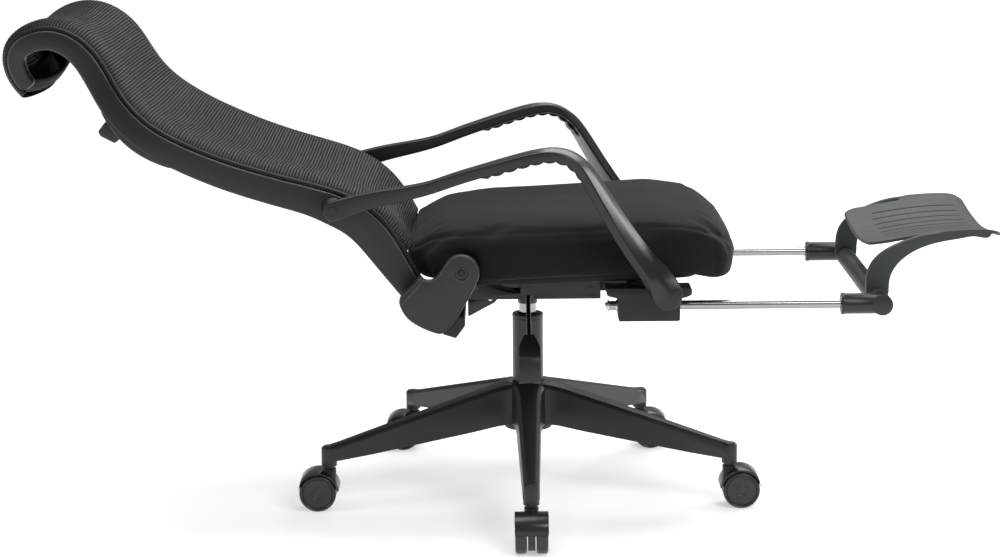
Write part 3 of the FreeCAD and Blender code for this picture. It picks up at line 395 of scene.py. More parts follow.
def spline(ts, vs):
    """natural cubic spline through (ts, vs); vs may have several columns"""
    ts = np.asarray(ts, float)
    vs = np.asarray(vs, float)
    if vs.ndim == 1:
        vs = vs[:, None]
    n = len(ts)
    h = np.diff(ts)
    A = np.zeros((n, n))
    r = np.zeros((n, vs.shape[1]))
    A[0, 0] = A[-1, -1] = 1.0
    for i in range(1, n - 1):
        A[i, i - 1], A[i, i], A[i, i + 1] = h[i - 1], 2 * (h[i - 1] + h[i]), h[i]
        r[i] = 6 * ((vs[i + 1] - vs[i]) / h[i] - (vs[i] - vs[i - 1]) / h[i - 1])
    m = np.linalg.solve(A, r)

    def f(t):
        t = np.atleast_1d(np.asarray(t, float))
        i = np.clip(np.searchsorted(ts, t) - 1, 0, n - 2)
        a, b = ts[i], ts[i + 1]
        hh = (b - a)[:, None]
        u, w = (b - t)[:, None], (t - a)[:, None]
        return (m[i] * u ** 3 / (6 * hh) + m[i + 1] * w ** 3 / (6 * hh) + (vs[i] / hh - m[i] * hh / 6) * u
                + (vs[i + 1] / hh - m[i + 1] * hh / 6) * w)

    return f


def lerp(x, table):
    t = np.asarray(table, float)
    return np.interp(x, t[:, 0], t[:, 1])


def round_loop(pts, radii, n=5):
    """closed 2-D loop with its corners rounded"""
    out = []
    m = len(pts)
    for i in range(m):
        p = np.array(pts[i], float)
        r = radii[i] if isinstance(radii, (list, tuple)) else radii
        a, b = np.array(pts[i - 1], float), np.array(pts[(i + 1) % m], float)
        u, w = a - p, b - p
        lu, lw = np.linalg.norm(u), np.linalg.norm(w)
        u, w = u / lu, w / lw
        half = math.acos(max(-1.0, min(1.0, float(u @ w)))) / 2
        if r <= 0 or half > 1.56:
            out += [tuple(p)] * 1
            continue
        t = min(r / math.tan(half), 0.48 * lu, 0.48 * lw)
        r = t * math.tan(half)
        bis = (u + w) / np.linalg.norm(u + w)
        c = p + bis * r / math.sin(half)
        s0, e0 = p + u * t, p + w * t
        a0, a1 = math.atan2(*(s0 - c)[::-1]), math.atan2(*(e0 - c)[::-1])
        d = (a1 - a0 + math.pi) % (2 * math.pi) - math.pi
        for k in range(n + 1):
            ang = a0 + d * k / n
            out.append((c[0] + r * math.cos(ang), c[1] + r * math.sin(ang)))
    return out


def smooth_outline(pts, step=3.0):
    """closed Catmull-Rom style outline through the points, resampled"""
    p = np.array(list(pts) + [pts[0]], float)
    d = np.concatenate([[0], np.cumsum(np.linalg.norm(np.diff(p, axis=0), axis=1))])
    ext = np.concatenate([p[-4:-1], p, p[1:4]])
    de = np.concatenate([d[-4:-1] - d[-1], d, d[1:4] + d[-1]])
    f = spline(de, ext)
    n = max(8, int(d[-1] / step))
    return [tuple(v) for v in f(np.linspace(0, d[-1], n, endpoint=False))]


def offset_loop(pts, d):
    """moves a closed loop inwards by d along its corner bisectors"""
    p = np.array(pts, float)
    area = 0.5 * np.sum(p[:, 0] * np.roll(p[:, 1], -1) - np.roll(p[:, 0], -1) * p[:, 1])
    e = np.roll(p, -1, 0) - p
    e /= np.linalg.norm(e, axis=1)[:, None] + 1e-12
    nrm = np.stack([-e[:, 1], e[:, 0]], 1) * (1 if area > 0 else -1)
    prev = np.roll(nrm, 1, 0)
    b = nrm + prev
    k = np.sum(b * b, axis=1) / 2
    b = b / np.maximum(k, 0.35)[:, None]
    return p + b * d


def plate(name, outline, y_out, y_in, r, mat, r_in=0.0, seg=4, sharp=45):
    """XZ outline extruded along Y with a rolled rim of radius r on the outer face"""
    s = 1.0 if y_in > y_out else -1.0
    loops = []
    for k in range(seg + 1):
        a = math.pi / 2 * k / seg
        q = offset_loop(outline, r * (1 - math.sin(a)))
        loops.append([(x, y_out + s * r * (1 - math.cos(a)), z) for x, z in q])
    if r_in > 0:
        for k in range(seg + 1):
            a = math.pi / 2 * (seg - k) / seg
            q = offset_loop(outline, r_in * (1 - math.sin(a)))
            loops.append([(x, y_in - s * r_in * (1 - math.cos(a)), z) for x, z in q])
    else:
        loops.append([(x, y_in, z) for x, z in outline])
    return sweep(name, loops, mat, sharp)


def lathe(name, prof, centre, axis, mat, n=48, sharp=40):
    """profile of (radius, along) turned about an axis through the centre"""
    ax = Vector(axis).normalized()
    a = ax.orthogonal().normalized()
    b = ax.cross(a)
    c = Vector(centre)
    loops = []
    for j in range(n):
        t = 2 * math.pi * j / n
        d = a * math.cos(t) + b * math.sin(t)
        loops.append([tuple(c + d * r + ax * h) for r, h in prof])
    loops = np.array(loops)
    N, M, _ = loops.shape
    v = loops.reshape(-1, 3)
    f = []
    for j in range(N):
        k = (j + 1) % N
        for i in range(M):
            q = (i + 1) % M
            if prof[i][0] < 1e-6 and prof[q][0] < 1e-6:
                continue
            f.append((j * M + i, j * M + q, k * M + q, k * M + i))
    o = make(name, v, f, mat, None, fix=False)
    bm = bmesh.new()
    bm.from_mesh(o.data)
    bmesh.ops.remove_doubles(bm, verts=bm.verts, dist=1e-6)
    bmesh.ops.recalc_face_normals(bm, faces=bm.faces)
    bm.to_mesh(o.data)
    bm.free()
    o.data.shade_smooth()
    o.data.set_sharp_from_angle(angle=math.radians(sharp))
    return o


def applied(o):
    """runs the object's modifiers into its mesh"""
    dg = bpy.context.evaluated_depsgraph_get()
    me = bpy.data.meshes.new_from_object(o.evaluated_get(dg))
    mats = list(o.data.materials)
    o.modifiers.clear()
    o.data = me
    if not me.materials:
        for m in mats:
            me.materials.append(m)
    return o


def refined(node, name, bevel=1.0, seg=2, angle=34, dissolve=1.0, mat=None, replace=True):
    """a node's own shape with its hard edges rolled"""
    src = NODES[node]
    me = src.data.copy()
    me.name = name
    bm = bmesh.new()
    bm.from_mesh(me)
    bmesh.ops.remove_doubles(bm, verts=bm.verts, dist=2e-6)
    bmesh.ops.dissolve_limit(bm, angle_limit=math.radians(dissolve), verts=bm.verts, edges=bm.edges)
    bm.to_mesh(me)
    bm.free()
    o = bpy.data.objects.new(name, me)
    SCENE.collection.objects.link(o)
    m = o.modifiers.new("roll", "BEVEL")
    m.width = bevel * MM
    m.segments = seg
    m.limit_method = "ANGLE"
    m.angle_limit = math.radians(angle)
    m.use_clamp_overlap = True
    m.miter_outer = "MITER_ARC"
    bpy.context.view_layer.update()
    applied(o)
    o.data.shade_smooth()
    o.data.set_sharp_from_angle(angle=math.radians(angle))
    o.data.materials.clear()
    o.data.materials.append(mat or CAD_LOOK[node])
    body = src["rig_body"]
    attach(o, body)
    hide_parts(node)
    return o


# ===========================================================================
# back: profile of the mesh's edge line (x, z, half width, rail depth)
# ===========================================================================
BACK = np.array([
    (-162.9, 397.4, 195.0, 48.0), (-183.9, 436.1, 199.0, 55.3), (-204.6, 470.4, 203.6, 59.3),
    (-226.7, 497.6, 208.2, 60.0), (-252.3, 518.0, 213.3, 59.1), (-284.0, 534.1, 218.6, 57.2),
    (-321.8, 547.2, 223.0, 53.0), (-364.3, 559.2, 227.2, 51.0), (-406.3, 571.9, 232.6, 49.9),
    (-447.2, 586.0, 239.0, 48.8), (-486.8, 602.1, 244.5, 47.6), (-525.0, 620.0, 247.7, 46.6),
    (-558.9, 639.6, 247.1, 46.0), (-587.0, 661.7, 237.8, 45.1), (-609.0, 687.3, 225.6, 43.8),
    (-629.7, 721.5, 216.1, 42.9), (-649.8, 751.2, 214.1, 42.1), (-672.1, 771.4, 213.3, 40.7),
    (-697.5, 784.1, 213.0, 39.5), (-724.0, 788.2, 212.3, 38.6), (-750.3, 783.7, 210.8, 37.9),
    (-772.8, 771.7, 208.1, 36.7), (-787.4, 755.2, 203.8, 35.6), (-793.5, 734.8, 198.6, 34.9),
    (-791.1, 710.6, 192.4, 34.2), (-779.5, 685.8, 184.0, 33.0), (-765.0, 668.0, 178.0, 32.5),
])
SB = np.concatenate([[0], np.cumsum(np.hypot(np.diff(BACK[:, 0]), np.diff(BACK[:, 1])))])
S_END = float(SB[-2]) + 12.0   # end of the rails
S_ONE = float(SB[1])
_bf = spline(SB, BACK)


def back_at(s):
    """position, rear normal, half width and depth at arc length s (arrays)"""
    s = np.atleast_1d(np.asarray(s, float))
    v = _bf(s)
    d = (_bf(s + 0.5) - _bf(s - 0.5))[:, :2]
    d /= np.linalg.norm(d, axis=1)[:, None]
    return v[:, :2], np.stack([-d[:, 1], d[:, 0]], 1), v[:, 2], v[:, 3]


def back_point(s, y, n):
    """3-D points for matching arrays of arc length, Y and depth behind the edge line"""
    s, y, n = np.broadcast_arrays(np.asarray(s, float), np.asarray(y, float), np.asarray(n, float))
    p, nr, _, _ = back_at(s.ravel())
    q = p + nr * n.ravel()[:, None]
    return np.stack([q[:, 0], y.ravel(), q[:, 1]], 1).reshape(*s.shape, 3)


# --- rails -----------------------------------------------------------------
def rail_loop(s):
    _, _, hw, dep = back_at([s])
    hw, dep = float(hw[0]), float(dep[0])
    yo, yi = hw + 11.0, hw - 13.0
    pts = [(yi, 10.0), (yo - 0.9, 10.0), (yo + 0.9, 10.0 + 0.5 * (dep - 10.0)), (yo - 0.8, dep), (yi, dep)]
    loop = round_loop(pts, [2.0, 2.2, 60.0, 7.0, 5.0], 6)
    return loop


def rail_mesh(name):
    ss = np.concatenate([np.linspace(-24.0, S_END - 9.0, 256), S_END - 9.0 + 9.0 * np.sin(np.linspace(0.1, 1.0, 8) * math.pi / 2)])
    loops = []
    for s in ss:
        loop = np.array(rail_loop(min(s, S_END)))
        if s > S_END - 9.0:
            t = (s - (S_END - 9.0)) / 9.0
            k = 9.0 * (1 - math.sqrt(max(0.0, 1 - t * t)))
            c = loop.mean(0)
            half = (loop.max(0) - loop.min(0)) / 2
            loop = c + (loop - c) * (1 - np.minimum(k, half * 0.85) / half)
        loops.append(back_point(np.full(len(loop), s), -loop[:, 0], loop[:, 1]))
    return sweep(name, loops, M_RAIL, 50)


rail_r = rail_mesh("back_rail_right_shell")
# raised boss that takes the arm's bolt
def boss(sign):
    return lathe("boss", [(0.0, 222.0), (17.5, 222.0), (17.5, 235.0), (16.5, 240.0), (14.0, 243.4), (7.5, 243.6), (0.0, 243.6)],
                 (-296.0, 0.0, 507.0), (0, sign, 0), M_RAIL, 40)


# thin bead along the rail's top outer edge in the lighter bead plastic: a painted highlight line
def rail_bead():
    loops = []
    for s in np.linspace(2.0, S_END - 8.0, 260):
        _, _, hw, _ = back_at([s])
        a = np.linspace(0, 2 * math.pi, 10, endpoint=False)
        loops.append(back_point(np.full(10, s), -(float(hw[0]) + 9.3 + 1.15 * np.cos(a)), 10.5 + 1.15 * np.sin(a)))
    return sweep("rail_bead", loops, M_BEAD, None)


rail_r = join("rail_right_body", [rail_r, rail_bead()])
rail_l = mirror_y(rail_r, "back_rail_left_shell")
rail_r = join("back_rail_right", [rail_r, boss(-1)])
rail_l = join("back_rail_left", [rail_l, boss(1)])
for o in (rail_r, rail_l):
    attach(o, "back")
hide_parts("back_rails")
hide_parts("back_rails")


# --- edge strips: ribbed carrier that the mesh is welded to -------------------
def strip_mesh(name):
    step = 0.85
    ss = np.arange(2.0, S_END + 2.0, step)
    loops = []
    for s in ss:
        _, _, hw, _ = back_at([s])
        hw = float(hw[0])
        rib = 0.55 * (0.5 + 0.5 * math.cos(2 * math.pi * s / 3.4))
        yo = hw + 5.2 + rib
        pts = [(hw - 9.0, 3.4), (hw - 1.0, 3.0 - rib * 0.6), (yo - 1.4, 3.2 - rib * 0.4), (yo, 5.2), (yo, 9.7), (hw - 9.0, 9.7)]
        loop = np.array(round_loop(pts, [0.8, 2.0, 2.4, 2.0, 0.4, 0.4], 2))
        loops.append(back_point(np.full(len(loop), s), -loop[:, 0], loop[:, 1]))
    return sweep(name, loops, M_STRIP, None)


strip_r = strip_mesh("mesh_edge_strip_right")
strip_l = mirror_y(strip_r, "mesh_edge_strip_left")
for o in (strip_r, strip_l):
    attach(o, "back")
    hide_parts("mesh_edge_strips")


# --- mesh ------------------------------------------------------------------
def mesh_depth(s, y, hw):
    """depth of the mesh behind its edge line: rolled edges, then a shallow sag"""
    u = np.maximum(hw - np.abs(y), 0.0)
    sag = np.interp(s, [0, 60, 130, 220, 480, 560, 640, 760, S_END + 20], [1.0, 4.0, 8.0, 10.0, 9.0, 7.0, 5.0, 2.0, 1.0])
    t = np.clip((u - 22.0) / (hw - 22.0), 0, 1)
    return 3.2 - 8.2 * (1 - np.exp(-u / 12.0)) + (5.0 + sag) * (0.5 - 0.5 * np.cos(math.pi * t)) ** 0.9


PITCH = 4.7
mm_mesh = Net("mesh_weave")
uvn = mm_mesh.node("ShaderNodeUVMap", uv_map="flat")
sep = mm_mesh.node("ShaderNodeSeparateXYZ")
mm_mesh.link(uvn.outputs[0], sep.inputs[0])
u_mm = mm_mesh.math("MULTIPLY", sep.outputs[0], 1000.0)      # across, mm
v_mm = mm_mesh.math("MULTIPLY", sep.outputs[1], 1000.0)      # along, mm
wob = mm_mesh.noise(mm_mesh.scaled(uvn.outputs[0], 9.0, 120.0, 1.0), 1.0, 2.0, 0.5)
vv = mm_mesh.math("ADD", v_mm, mm_mesh.math("MULTIPLY", mm_mesh.math("SUBTRACT", wob, 0.5), 2.4))
rib = mm_mesh.math("ADD", mm_mesh.math("MULTIPLY", mm_mesh.math("COSINE", mm_mesh.math("MULTIPLY", vv, 2 * math.pi / PITCH)), 0.5), 0.5)
fine = mm_mesh.math("ADD", mm_mesh.math("MULTIPLY", mm_mesh.math("COSINE", mm_mesh.math("MULTIPLY", vv, 6 * math.pi / PITCH)), 0.5), 0.5)
yarn = mm_mesh.math("ADD", mm_mesh.math("MULTIPLY", mm_mesh.math("COSINE", mm_mesh.math("MULTIPLY", u_mm, 2 * math.pi / 1.9)), 0.5), 0.5)
h = mm_mesh.math("ADD", mm_mesh.math("MULTIPLY", fine, 0.5), mm_mesh.math("MULTIPLY", yarn, 0.35))
# base colour from the rib and yarn pattern: near-black in the grooves between ribs is painted shade, the lighter rib
# tops a painted highlight; the slow noise below varies the tone at random
shade = mm_mesh.math("ADD", mm_mesh.math("MULTIPLY", rib, 0.72), mm_mesh.math("MULTIPLY", mm_mesh.math("MULTIPLY", fine, yarn), 0.30), clamp=True)
slow = mm_mesh.noise(mm_mesh.coords(), 7.0, 3.0, 0.6)
shade = mm_mesh.math("MULTIPLY", shade, mm_mesh.remap(slow, 0.3, 0.7, 0.88, 1.12))
mm_mesh.link(mm_mesh.ramp(shade, [(0.16, (0.0006, 0.0006, 0.0008)), (0.44, (0.0022, 0.0026, 0.0036)), (0.70, (0.0120, 0.0150, 0.0190)), (1.0, (0.0330, 0.0400, 0.0500))]), mm_mesh.b.inputs["Base Color"])
mm_mesh.link(mm_mesh.remap(rib, 0.0, 1.0, 0.80, 0.36), mm_mesh.b.inputs["Roughness"])
mm_mesh.link(mm_mesh.bump(h, 0.55, 0.0004), mm_mesh.b.inputs["Normal"])
mm_mesh.set(Specular_IOR_Level=0.15)
M_MESH = mm_mesh.m


def mesh_sheet():
    rows = np.arange(S_ONE + 0.5, S_END + 0.1, PITCH / 6.0)
    q = np.linspace(-1, 1, 61)
    q = np.sign(q) * (1 - (1 - np.abs(q)) ** 1.35)          # closer together near the edges
    R, C = len(rows), len(q)
    p, nr, hw, _ = back_at(rows)
    front = np.zeros((R, C, 3))
    back = np.zeros((R, C, 3))
    uvs = np.zeros((R, C, 2))
    over = 14.0 * np.clip((rows - (S_END - 40.0)) / 40.0, 0, 1)      # the head end bows outwards in the middle
    rib = 0.55 * (0.5 + 0.5 * np.cos(2 * math.pi * rows / PITCH)) ** 0.8
    for j, k in enumerate(q):
        y = k * hw
        s_eff = rows + over * (1 - k * k)
        pj, nj, _, _ = back_at(s_eff)
        dep = mesh_depth(rows, y, hw)
        edge = min(1.0, (1 - abs(k)) * 14)
        a = pj + nj * (dep - rib * edge)[:, None]
        b = pj + nj * (dep + 1.1 + rib * edge * 0.8)[:, None]
        front[:, j] = np.stack([a[:, 0], y, a[:, 1]], 1)
        back[:, j] = np.stack([b[:, 0], y, b[:, 1]], 1)
        uvs[:, j, 0] = y * MM
        uvs[:, j, 1] = rows * MM
    v = np.concatenate([front.reshape(-1, 3), back.reshape(-1, 3)])
    uv = np.concatenate([uvs.reshape(-1, 2)] * 2)
    n = R * C
    f = []
    for i in range(R - 1):
        for j in range(C - 1):
            a, b, c, d = i * C + j, i * C + j + 1, (i + 1) * C + j + 1, (i + 1) * C + j
            f.append((a, b, c, d))
            f.append((n + d, n + c, n + b, n + a))
    for i in range(R - 1):
        a, d = i * C, (i + 1) * C
        f.append((a, d, n + d, n + a))
        b, c = i * C + C - 1, (i + 1) * C + C - 1
        f.append((c, b, n + b, n + c))
    for j in range(C - 1):
        f.append((j + 1, j, n + j, n + j + 1))
        e = (R - 1) * C
        f.append((e + j, e + j + 1, n + e + j + 1, n + e + j))
    o = make("back_mesh_weave", v, f, M_MESH, None, fix=False)
    me = o.data
    layer = me.uv_layers.new(name="flat")
    idx = np.zeros(len(me.loops), np.int32)
    me.loops.foreach_get("vertex_index", idx)
    layer.data.foreach_set("uv", uv[idx].astype(np.float32).ravel())
    bm = bmesh.new()
    bm.from_mesh(me)
    bmesh.ops.recalc_face_normals(bm, faces=bm.faces)
    bm.to_mesh(me)
    bm.free()
    me.shade_smooth()
    return o


weave = mesh_sheet()
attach(weave, "back")
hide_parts("back_mesh")


# --- head end bar ------------------------------------------------------------
def head_bar():
    loops = []
    for y in np.linspace(-1, 1, 41):
        hw = 172.0
        bow = 13.0 * (1 - y * y)
        e = S_END + bow - 1.0
        sec = [(e - 40, 5.2), (e - 6, 4.6), (e, 6.5), (e + 1.0, 14.0), (e - 2.0, 27.0), (e - 5.5, 31.0), (e - 11.0, 30.0), (e - 9.0, 24.0), (e - 6.5, 14.0), (e - 8.0, 9.5), (e - 40, 8.4)]
        loop = np.array(round_loop(sec, [1.2, 3, 3, 20, 4, 2.5, 2.5, 3, 3, 3, 1.2], 3))
        loops.append(back_point(loop[:, 0], np.full(len(loop), y * hw), loop[:, 1]))
    return sweep("head_end_bar", loops, M_RAIL, 50)


hb = head_bar()
# the head end bar takes the near-black matte plastic: painted shade inside the hook
hb.data.materials.clear()
hb.data.materials.append(M_HEAD_BAR_SHADE)
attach(hb, "back")
lowbar_c = back_point(SB[1], 0.0, 41.0)
lb = lathe("lower_crossbar", [(0.0, -186.0), (8.5, -186.0), (8.5, 186.0), (0.0, 186.0)], tuple(lowbar_c), (0, 1, 0), M_RAIL, 28)
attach(lb, "back")
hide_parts("back_crossbars")
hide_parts("back_crossbars")


# ===========================================================================
# ears
# ===========================================================================
BX, BZ = -103.0, 408.5
lobe = [(BX + 28.0 * math.cos(math.radians(a)), BZ + 28.0 * math.sin(math.radians(a))) for a in range(140, -31, -10)]
ear_outline = ([(-166.5, 400.5), (-157.0, 398.0), (-147.5, 398.5), (-138.5, 406.0)] + lobe
               + [(-86.0, 379.0), (-98.0, 358.0), (-110.5, 337.5), (-117.0, 329.0), (-126.0, 318.5), (-134.0, 314.0), (-147.0, 315.8),
                  (-162.0, 322.0), (-177.0, 330.5), (-188.5, 341.0), (-195.5, 353.0), (-198.5, 365.0), (-194.5, 375.0), (-184.0, 383.0), (-174.5, 391.5)])
ear_outline = smooth_outline(ear_outline, 2.4)
ear_a = plate("ear_face", ear_outline, -245.0, -233.5, 3.4, M_EAR, r_in=1.2, seg=5)
# collar over the rail's end: a raised roll that follows the joint
collar_pts = [(-161.5, 399.5, 3.5), (-167.0, 393.0, 6.0), (-174.0, 385.0, 7.0), (-182.0, 376.5, 7.2), (-189.5, 368.0, 6.0), (-194.5, 361.0, 3.5)]
cp = np.array(collar_pts)
cs = np.concatenate([[0], np.cumsum(np.hypot(np.diff(cp[:, 0]), np.diff(cp[:, 1])))])
cf = spline(cs, cp)
loops = []
for t in np.linspace(0, cs[-1], 28):
    x, z, r = cf(t)[0]
    d = (cf(t + 0.5) - cf(t - 0.5))[0][:2]
    d /= np.linalg.norm(d)
    loops.append([(x - d[1] * r * math.cos(a), -238.5 - 8.0 * math.sin(a), z + d[0] * r * math.cos(a)) for a in np.linspace(0, 2 * math.pi, 20, endpoint=False)])
collar = sweep("ear_collar", loops, M_EAR, 60)
foot_outline = round_loop([(-167.0, 398.0), (-157.5, 385.0), (-149.5, 365.0), (-139.5, 341.0), (-134.0, 318.0), (-147.0, 320.5), (-163.0, 327.5),
                           (-184.0, 342.0), (-192.5, 353.5), (-196.0, 366.0), (-192.0, 374.0)], [2, 4, 6, 6, 5, 5, 8, 6, 5, 4, 3], 3)
foot = plate("ear_foot", foot_outline, -233.6, -190.5, 0.4, M_EAR, r_in=2.0, seg=3)
# bolt recess: a dished ring round the bolt's head
recess = lathe("recess", [(10.6, 243.5), (11.0, 245.4), (11.9, 246.1), (13.2, 245.9), (13.9, 244.9), (13.4, 243.5)], (BX, 0, BZ), (0, -1, 0), M_EAR, 48)
# near-black disc on the floor of the bolt recess round the bolt head: painted shade of the recess
recess_shade_disc = lathe("recess_shade_disc", [(0.0, 243.0), (10.8, 243.0), (10.8, 245.3), (9.6, 245.15), (8.4, 244.3), (0.0, 244.3)], (BX, 0, BZ), (0, -1, 0), M_BLACK_AND_SHADE, 48)
# thin bead inset along the ear's outline in the lighter bead plastic: a painted highlight line on the rim
rim = offset_loop(ear_outline, 2.0)
nx = len(rim)
tan = np.roll(rim, -1, 0) - np.roll(rim, 1, 0)
tan /= np.linalg.norm(tan, axis=1)[:, None]
rv, rf = [], []
for j in range(nx):
    for q in range(8):
        a = 2 * math.pi * q / 8
        rv.append((rim[j, 0] - tan[j, 1] * 1.15 * math.cos(a), -244.7 - 1.15 * math.sin(a), rim[j, 1] + tan[j, 0] * 1.15 * math.cos(a)))
for j in range(nx):
    k = (j + 1) % nx
    for q in range(8):
        w = (q + 1) % 8
        rf.append((j * 8 + q, j * 8 + w, k * 8 + w, k * 8 + q))
bead = make("ear_bead", rv, rf, M_EARBEAD, None)
ear_r = join("ear_right", [ear_a, collar, foot, recess, recess_shade_disc, bead])
ear_l = mirror_y(ear_r, "ear_left")
for o in (ear_r, ear_l):
    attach(o, "back")
    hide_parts("ear_brackets")


def socket_bolt(name, x, z, y0, side, r_head, mat):
    """domed bolt head with a six-sided socket, seen end-on"""
    loops = []
    n = 36
    for r, h, hexed in ((r_head, -1.6, 0), (r_head, -0.4, 0), (r_head - 0.5, 0.25, 0), (r_head - 1.6, 0.75, 0), (r_head - 3.0, 1.0, 0), (3.9, 1.1, 1), (3.5, 0.7, 1), (3.4, -1.4, 1), (0.6, -1.5, 1)):
        loop = []
        for j in range(n):
            a = 2 * math.pi * j / n
            q = r
            if hexed:
                q = r * math.cos(math.pi / 6) / math.cos((a % (math.pi / 3)) - math.pi / 6)
            loop.append((x + q * math.cos(a), side * (y0 + h), z + q * math.sin(a)))
        loops.append(loop)
    o = sweep(name, loops, mat, 35)
    return o


for side, n in ((-1, "right"), (1, "left")):
    b = socket_bolt("pivot_bolt_head_" + n, BX, BZ, 244.6, side, 7.2, M_BLACK_AND_SHADE)
    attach(b, "back")


def hex_bolt(name, x, z, y0, y1, r_head, body):
    """socket bolt seen end-on: domed head with a round socket"""
    parts = []
    s = -1 if y0 < 0 else 1
    head = lathe("head", [(0.0, abs(y1)), (r_head - 1.0, abs(y1)), (r_head, abs(y1) + 0.6), (r_head, abs(y0) - 1.6), (r_head - 0.7, abs(y0) - 0.4), (r_head - 2.2, abs(y0)),
                          (3.6, abs(y0)), (3.5, abs(y0) - 2.6), (0.0, abs(y0) - 2.6)], (x, 0, z), (0, s, 0), M_STEEL, 36)
    return head


# ===========================================================================
# arms
# ===========================================================================
ARM = np.array([
    (-296.0, 507.0, -253.0, 18.0, 30.0, 0.0), (-246.0, 521.5, -253.0, 18.5, 26.0, 0.0),
    (-190.0, 533.0, -255.5, 21.0, 21.5, 0.0), (-148.0, 543.0, -259.5, 25.0, 18.5, 0.0),
    (-115.0, 554.5, -264.0, 30.0, 17.5, 0.0), (-66.0, 570.5, -272.0, 37.0, 16.5, 0.0),
    (-18.0, 585.0, -279.0, 43.0, 16.0, 0.0), (15.0, 593.0, -281.5, 45.0, 15.5, 0.0),
    (40.0, 594.5, -282.0, 45.5, 15.0, 3.0), (62.0, 588.0, -282.0, 45.5, 15.0, 8.0),
    (80.0, 573.0, -281.8, 45.5, 15.0, 14.0), (96.0, 550.0, -281.5, 45.5, 15.0, 19.0),
    (114.0, 520.0, -281.0, 46.0, 15.0, 22.0), (134.0, 487.0, -280.0, 46.0, 15.0, 26.0),
    (161.0, 446.0, -278.0, 46.0, 15.0, 32.0), (183.0, 417.0, -275.5, 46.0, 15.0, 42.0),
    (198.0, 396.0, -273.5, 46.0, 15.0, 66.0), (208.0, 378.0, -272.3, 46.0, 15.0, 90.0),
])
SA = np.concatenate([[0], np.cumsum(np.hypot(np.diff(ARM[:, 0]), np.diff(ARM[:, 1])))])
_af = spline(SA, ARM)


def arm_frame(s):
    v = _af(s)[0]
    d = (_af(s + 0.5) - _af(s - 0.5))[0]
    t = np.array([d[0], d[1]])
    t /= np.linalg.norm(t)
    n = np.array([-t[1], t[0]])
    if n[1] < 0 and s < SA[9]:
        n = -n
    return v, t, n


def arm_mesh(name):
    ends0 = np.linspace(0, 1, 7)
    L = float(SA[-1])
    ss = list(np.linspace(0.0, L, 150))
    loops = []
    prev_n = None
    extra0 = [(-12.5 * math.sin(a) ** 0.85, math.cos(a) ** 0.75) for a in np.linspace(math.pi / 2 * 0.985, 0.10, 14)]
    extra1 = [(23.0 * math.sin(a), math.cos(a)) for a in np.linspace(0.08, math.pi / 2 * 0.985, 14)]
    plan = [(0.0, ds, sc) for ds, sc in extra0] + [(s, 0.0, 1.0) for s in ss] + [(L, ds, sc) for ds, sc in extra1]
    for s, ds, sc in plan:
        v = _af(s)[0]
        a, b = _af(max(s - 1.0, 0.0))[0], _af(min(s + 1.0, L))[0]
        t = (b - a)[:2]
        t /= np.linalg.norm(t)
        n = np.array([-t[1], t[0]])
        roll = math.radians(float(np.clip(v[5], 0, 90)))
        x, z = v[0] + t[0] * ds, v[1] + t[1] * ds
        w, th = v[3], v[4]
        f3 = np.array([n[0] * math.cos(roll), -math.sin(roll), n[1] * math.cos(roll)])
        e3 = np.array([-n[0] * math.sin(roll), -math.cos(roll), -n[1] * math.sin(roll)])
        hw_, ht = w / 2, th / 2
        # ends round off in the arm's own plane
        if sc < 1.0:
            if s == 0.0:
                ht *= sc
            else:
                hw_ *= sc
        c = min(3.0, 0.26 * th, ht * 0.9, hw_ * 0.9)
        crown = min(1.6, 0.05 * w)
        sec = [(hw_, ht - 0.6), (0.0, ht + crown), (-hw_, ht - 0.6), (-hw_, -ht), (0.0, -ht - 0.3), (hw_, -ht)]
        loop = round_loop(sec, [c, 60.0, c, c, 60.0, c], 5)
        loops.append([tuple(np.array([x, v[2], z]) + e3 * p + f3 * q) for p, q in loop])
    return sweep(name, loops, M_ARM, 60)


arm_r = arm_mesh("arm_band_right")


def grip_mesh():
    """wavy strip under the crest"""
    s0 = float(np.interp(-78.0, ARM[:8, 0], SA[:8]))
    s1 = float(SA[11] + 4.0)
    loops = []
    L = s1 - s0
    for i, s in enumerate(np.linspace(s0, s1, 150)):
        v = _af(s)[0]
        a, b = _af(s - 1.0)[0], _af(s + 1.0)[0]
        t = (b - a)[:2]
        t /= np.linalg.norm(t)
        n = np.array([-t[1], t[0]])
        fade = min(1.0, (s - s0) / 14.0, (s1 - s) / 14.0)
        wave = 2.0 + 3.2 * abs(math.sin(math.pi * (s - s0) / 20.5)) ** 0.75
        depth = v[4] / 2 + max(0.0, fade) * wave
        roll = math.radians(float(np.clip(v[5], 0, 90)))
        f3 = np.array([n[0] * math.cos(roll), -math.sin(roll), n[1] * math.cos(roll)])
        e3 = np.array([-n[0] * math.sin(roll), -math.cos(roll), -n[1] * math.sin(roll)])
        hwg = 11.0
        loop = round_loop([(hwg, -v[4] / 2 + 2.0), (-hwg, -v[4] / 2 + 2.0), (-hwg, -depth), (hwg, -depth)], [0.5, 0.5, 2.2, 2.2], 3)
        loops.append([tuple(np.array([v[0], v[2], v[1]]) + e3 * p + f3 * q) for p, q in loop])
    return sweep("arm_grip_r", loops, M_GRIP, 60)


grip_r = grip_mesh()
grip_l = mirror_y(grip_r, "arm_grip_l")
arm_l = mirror_y(arm_r, "arm_band_left")
for o, n, b in ((arm_r, "arm_right", "arm_right"), (arm_l, "arm_left", "arm_left")):
    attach(o, b)
    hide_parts(n)
for o, n, b in ((grip_r, "arm_grip_right", "arm_right"), (grip_l, "arm_grip_left", "arm_left")):
    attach(o, b)
    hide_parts(n)

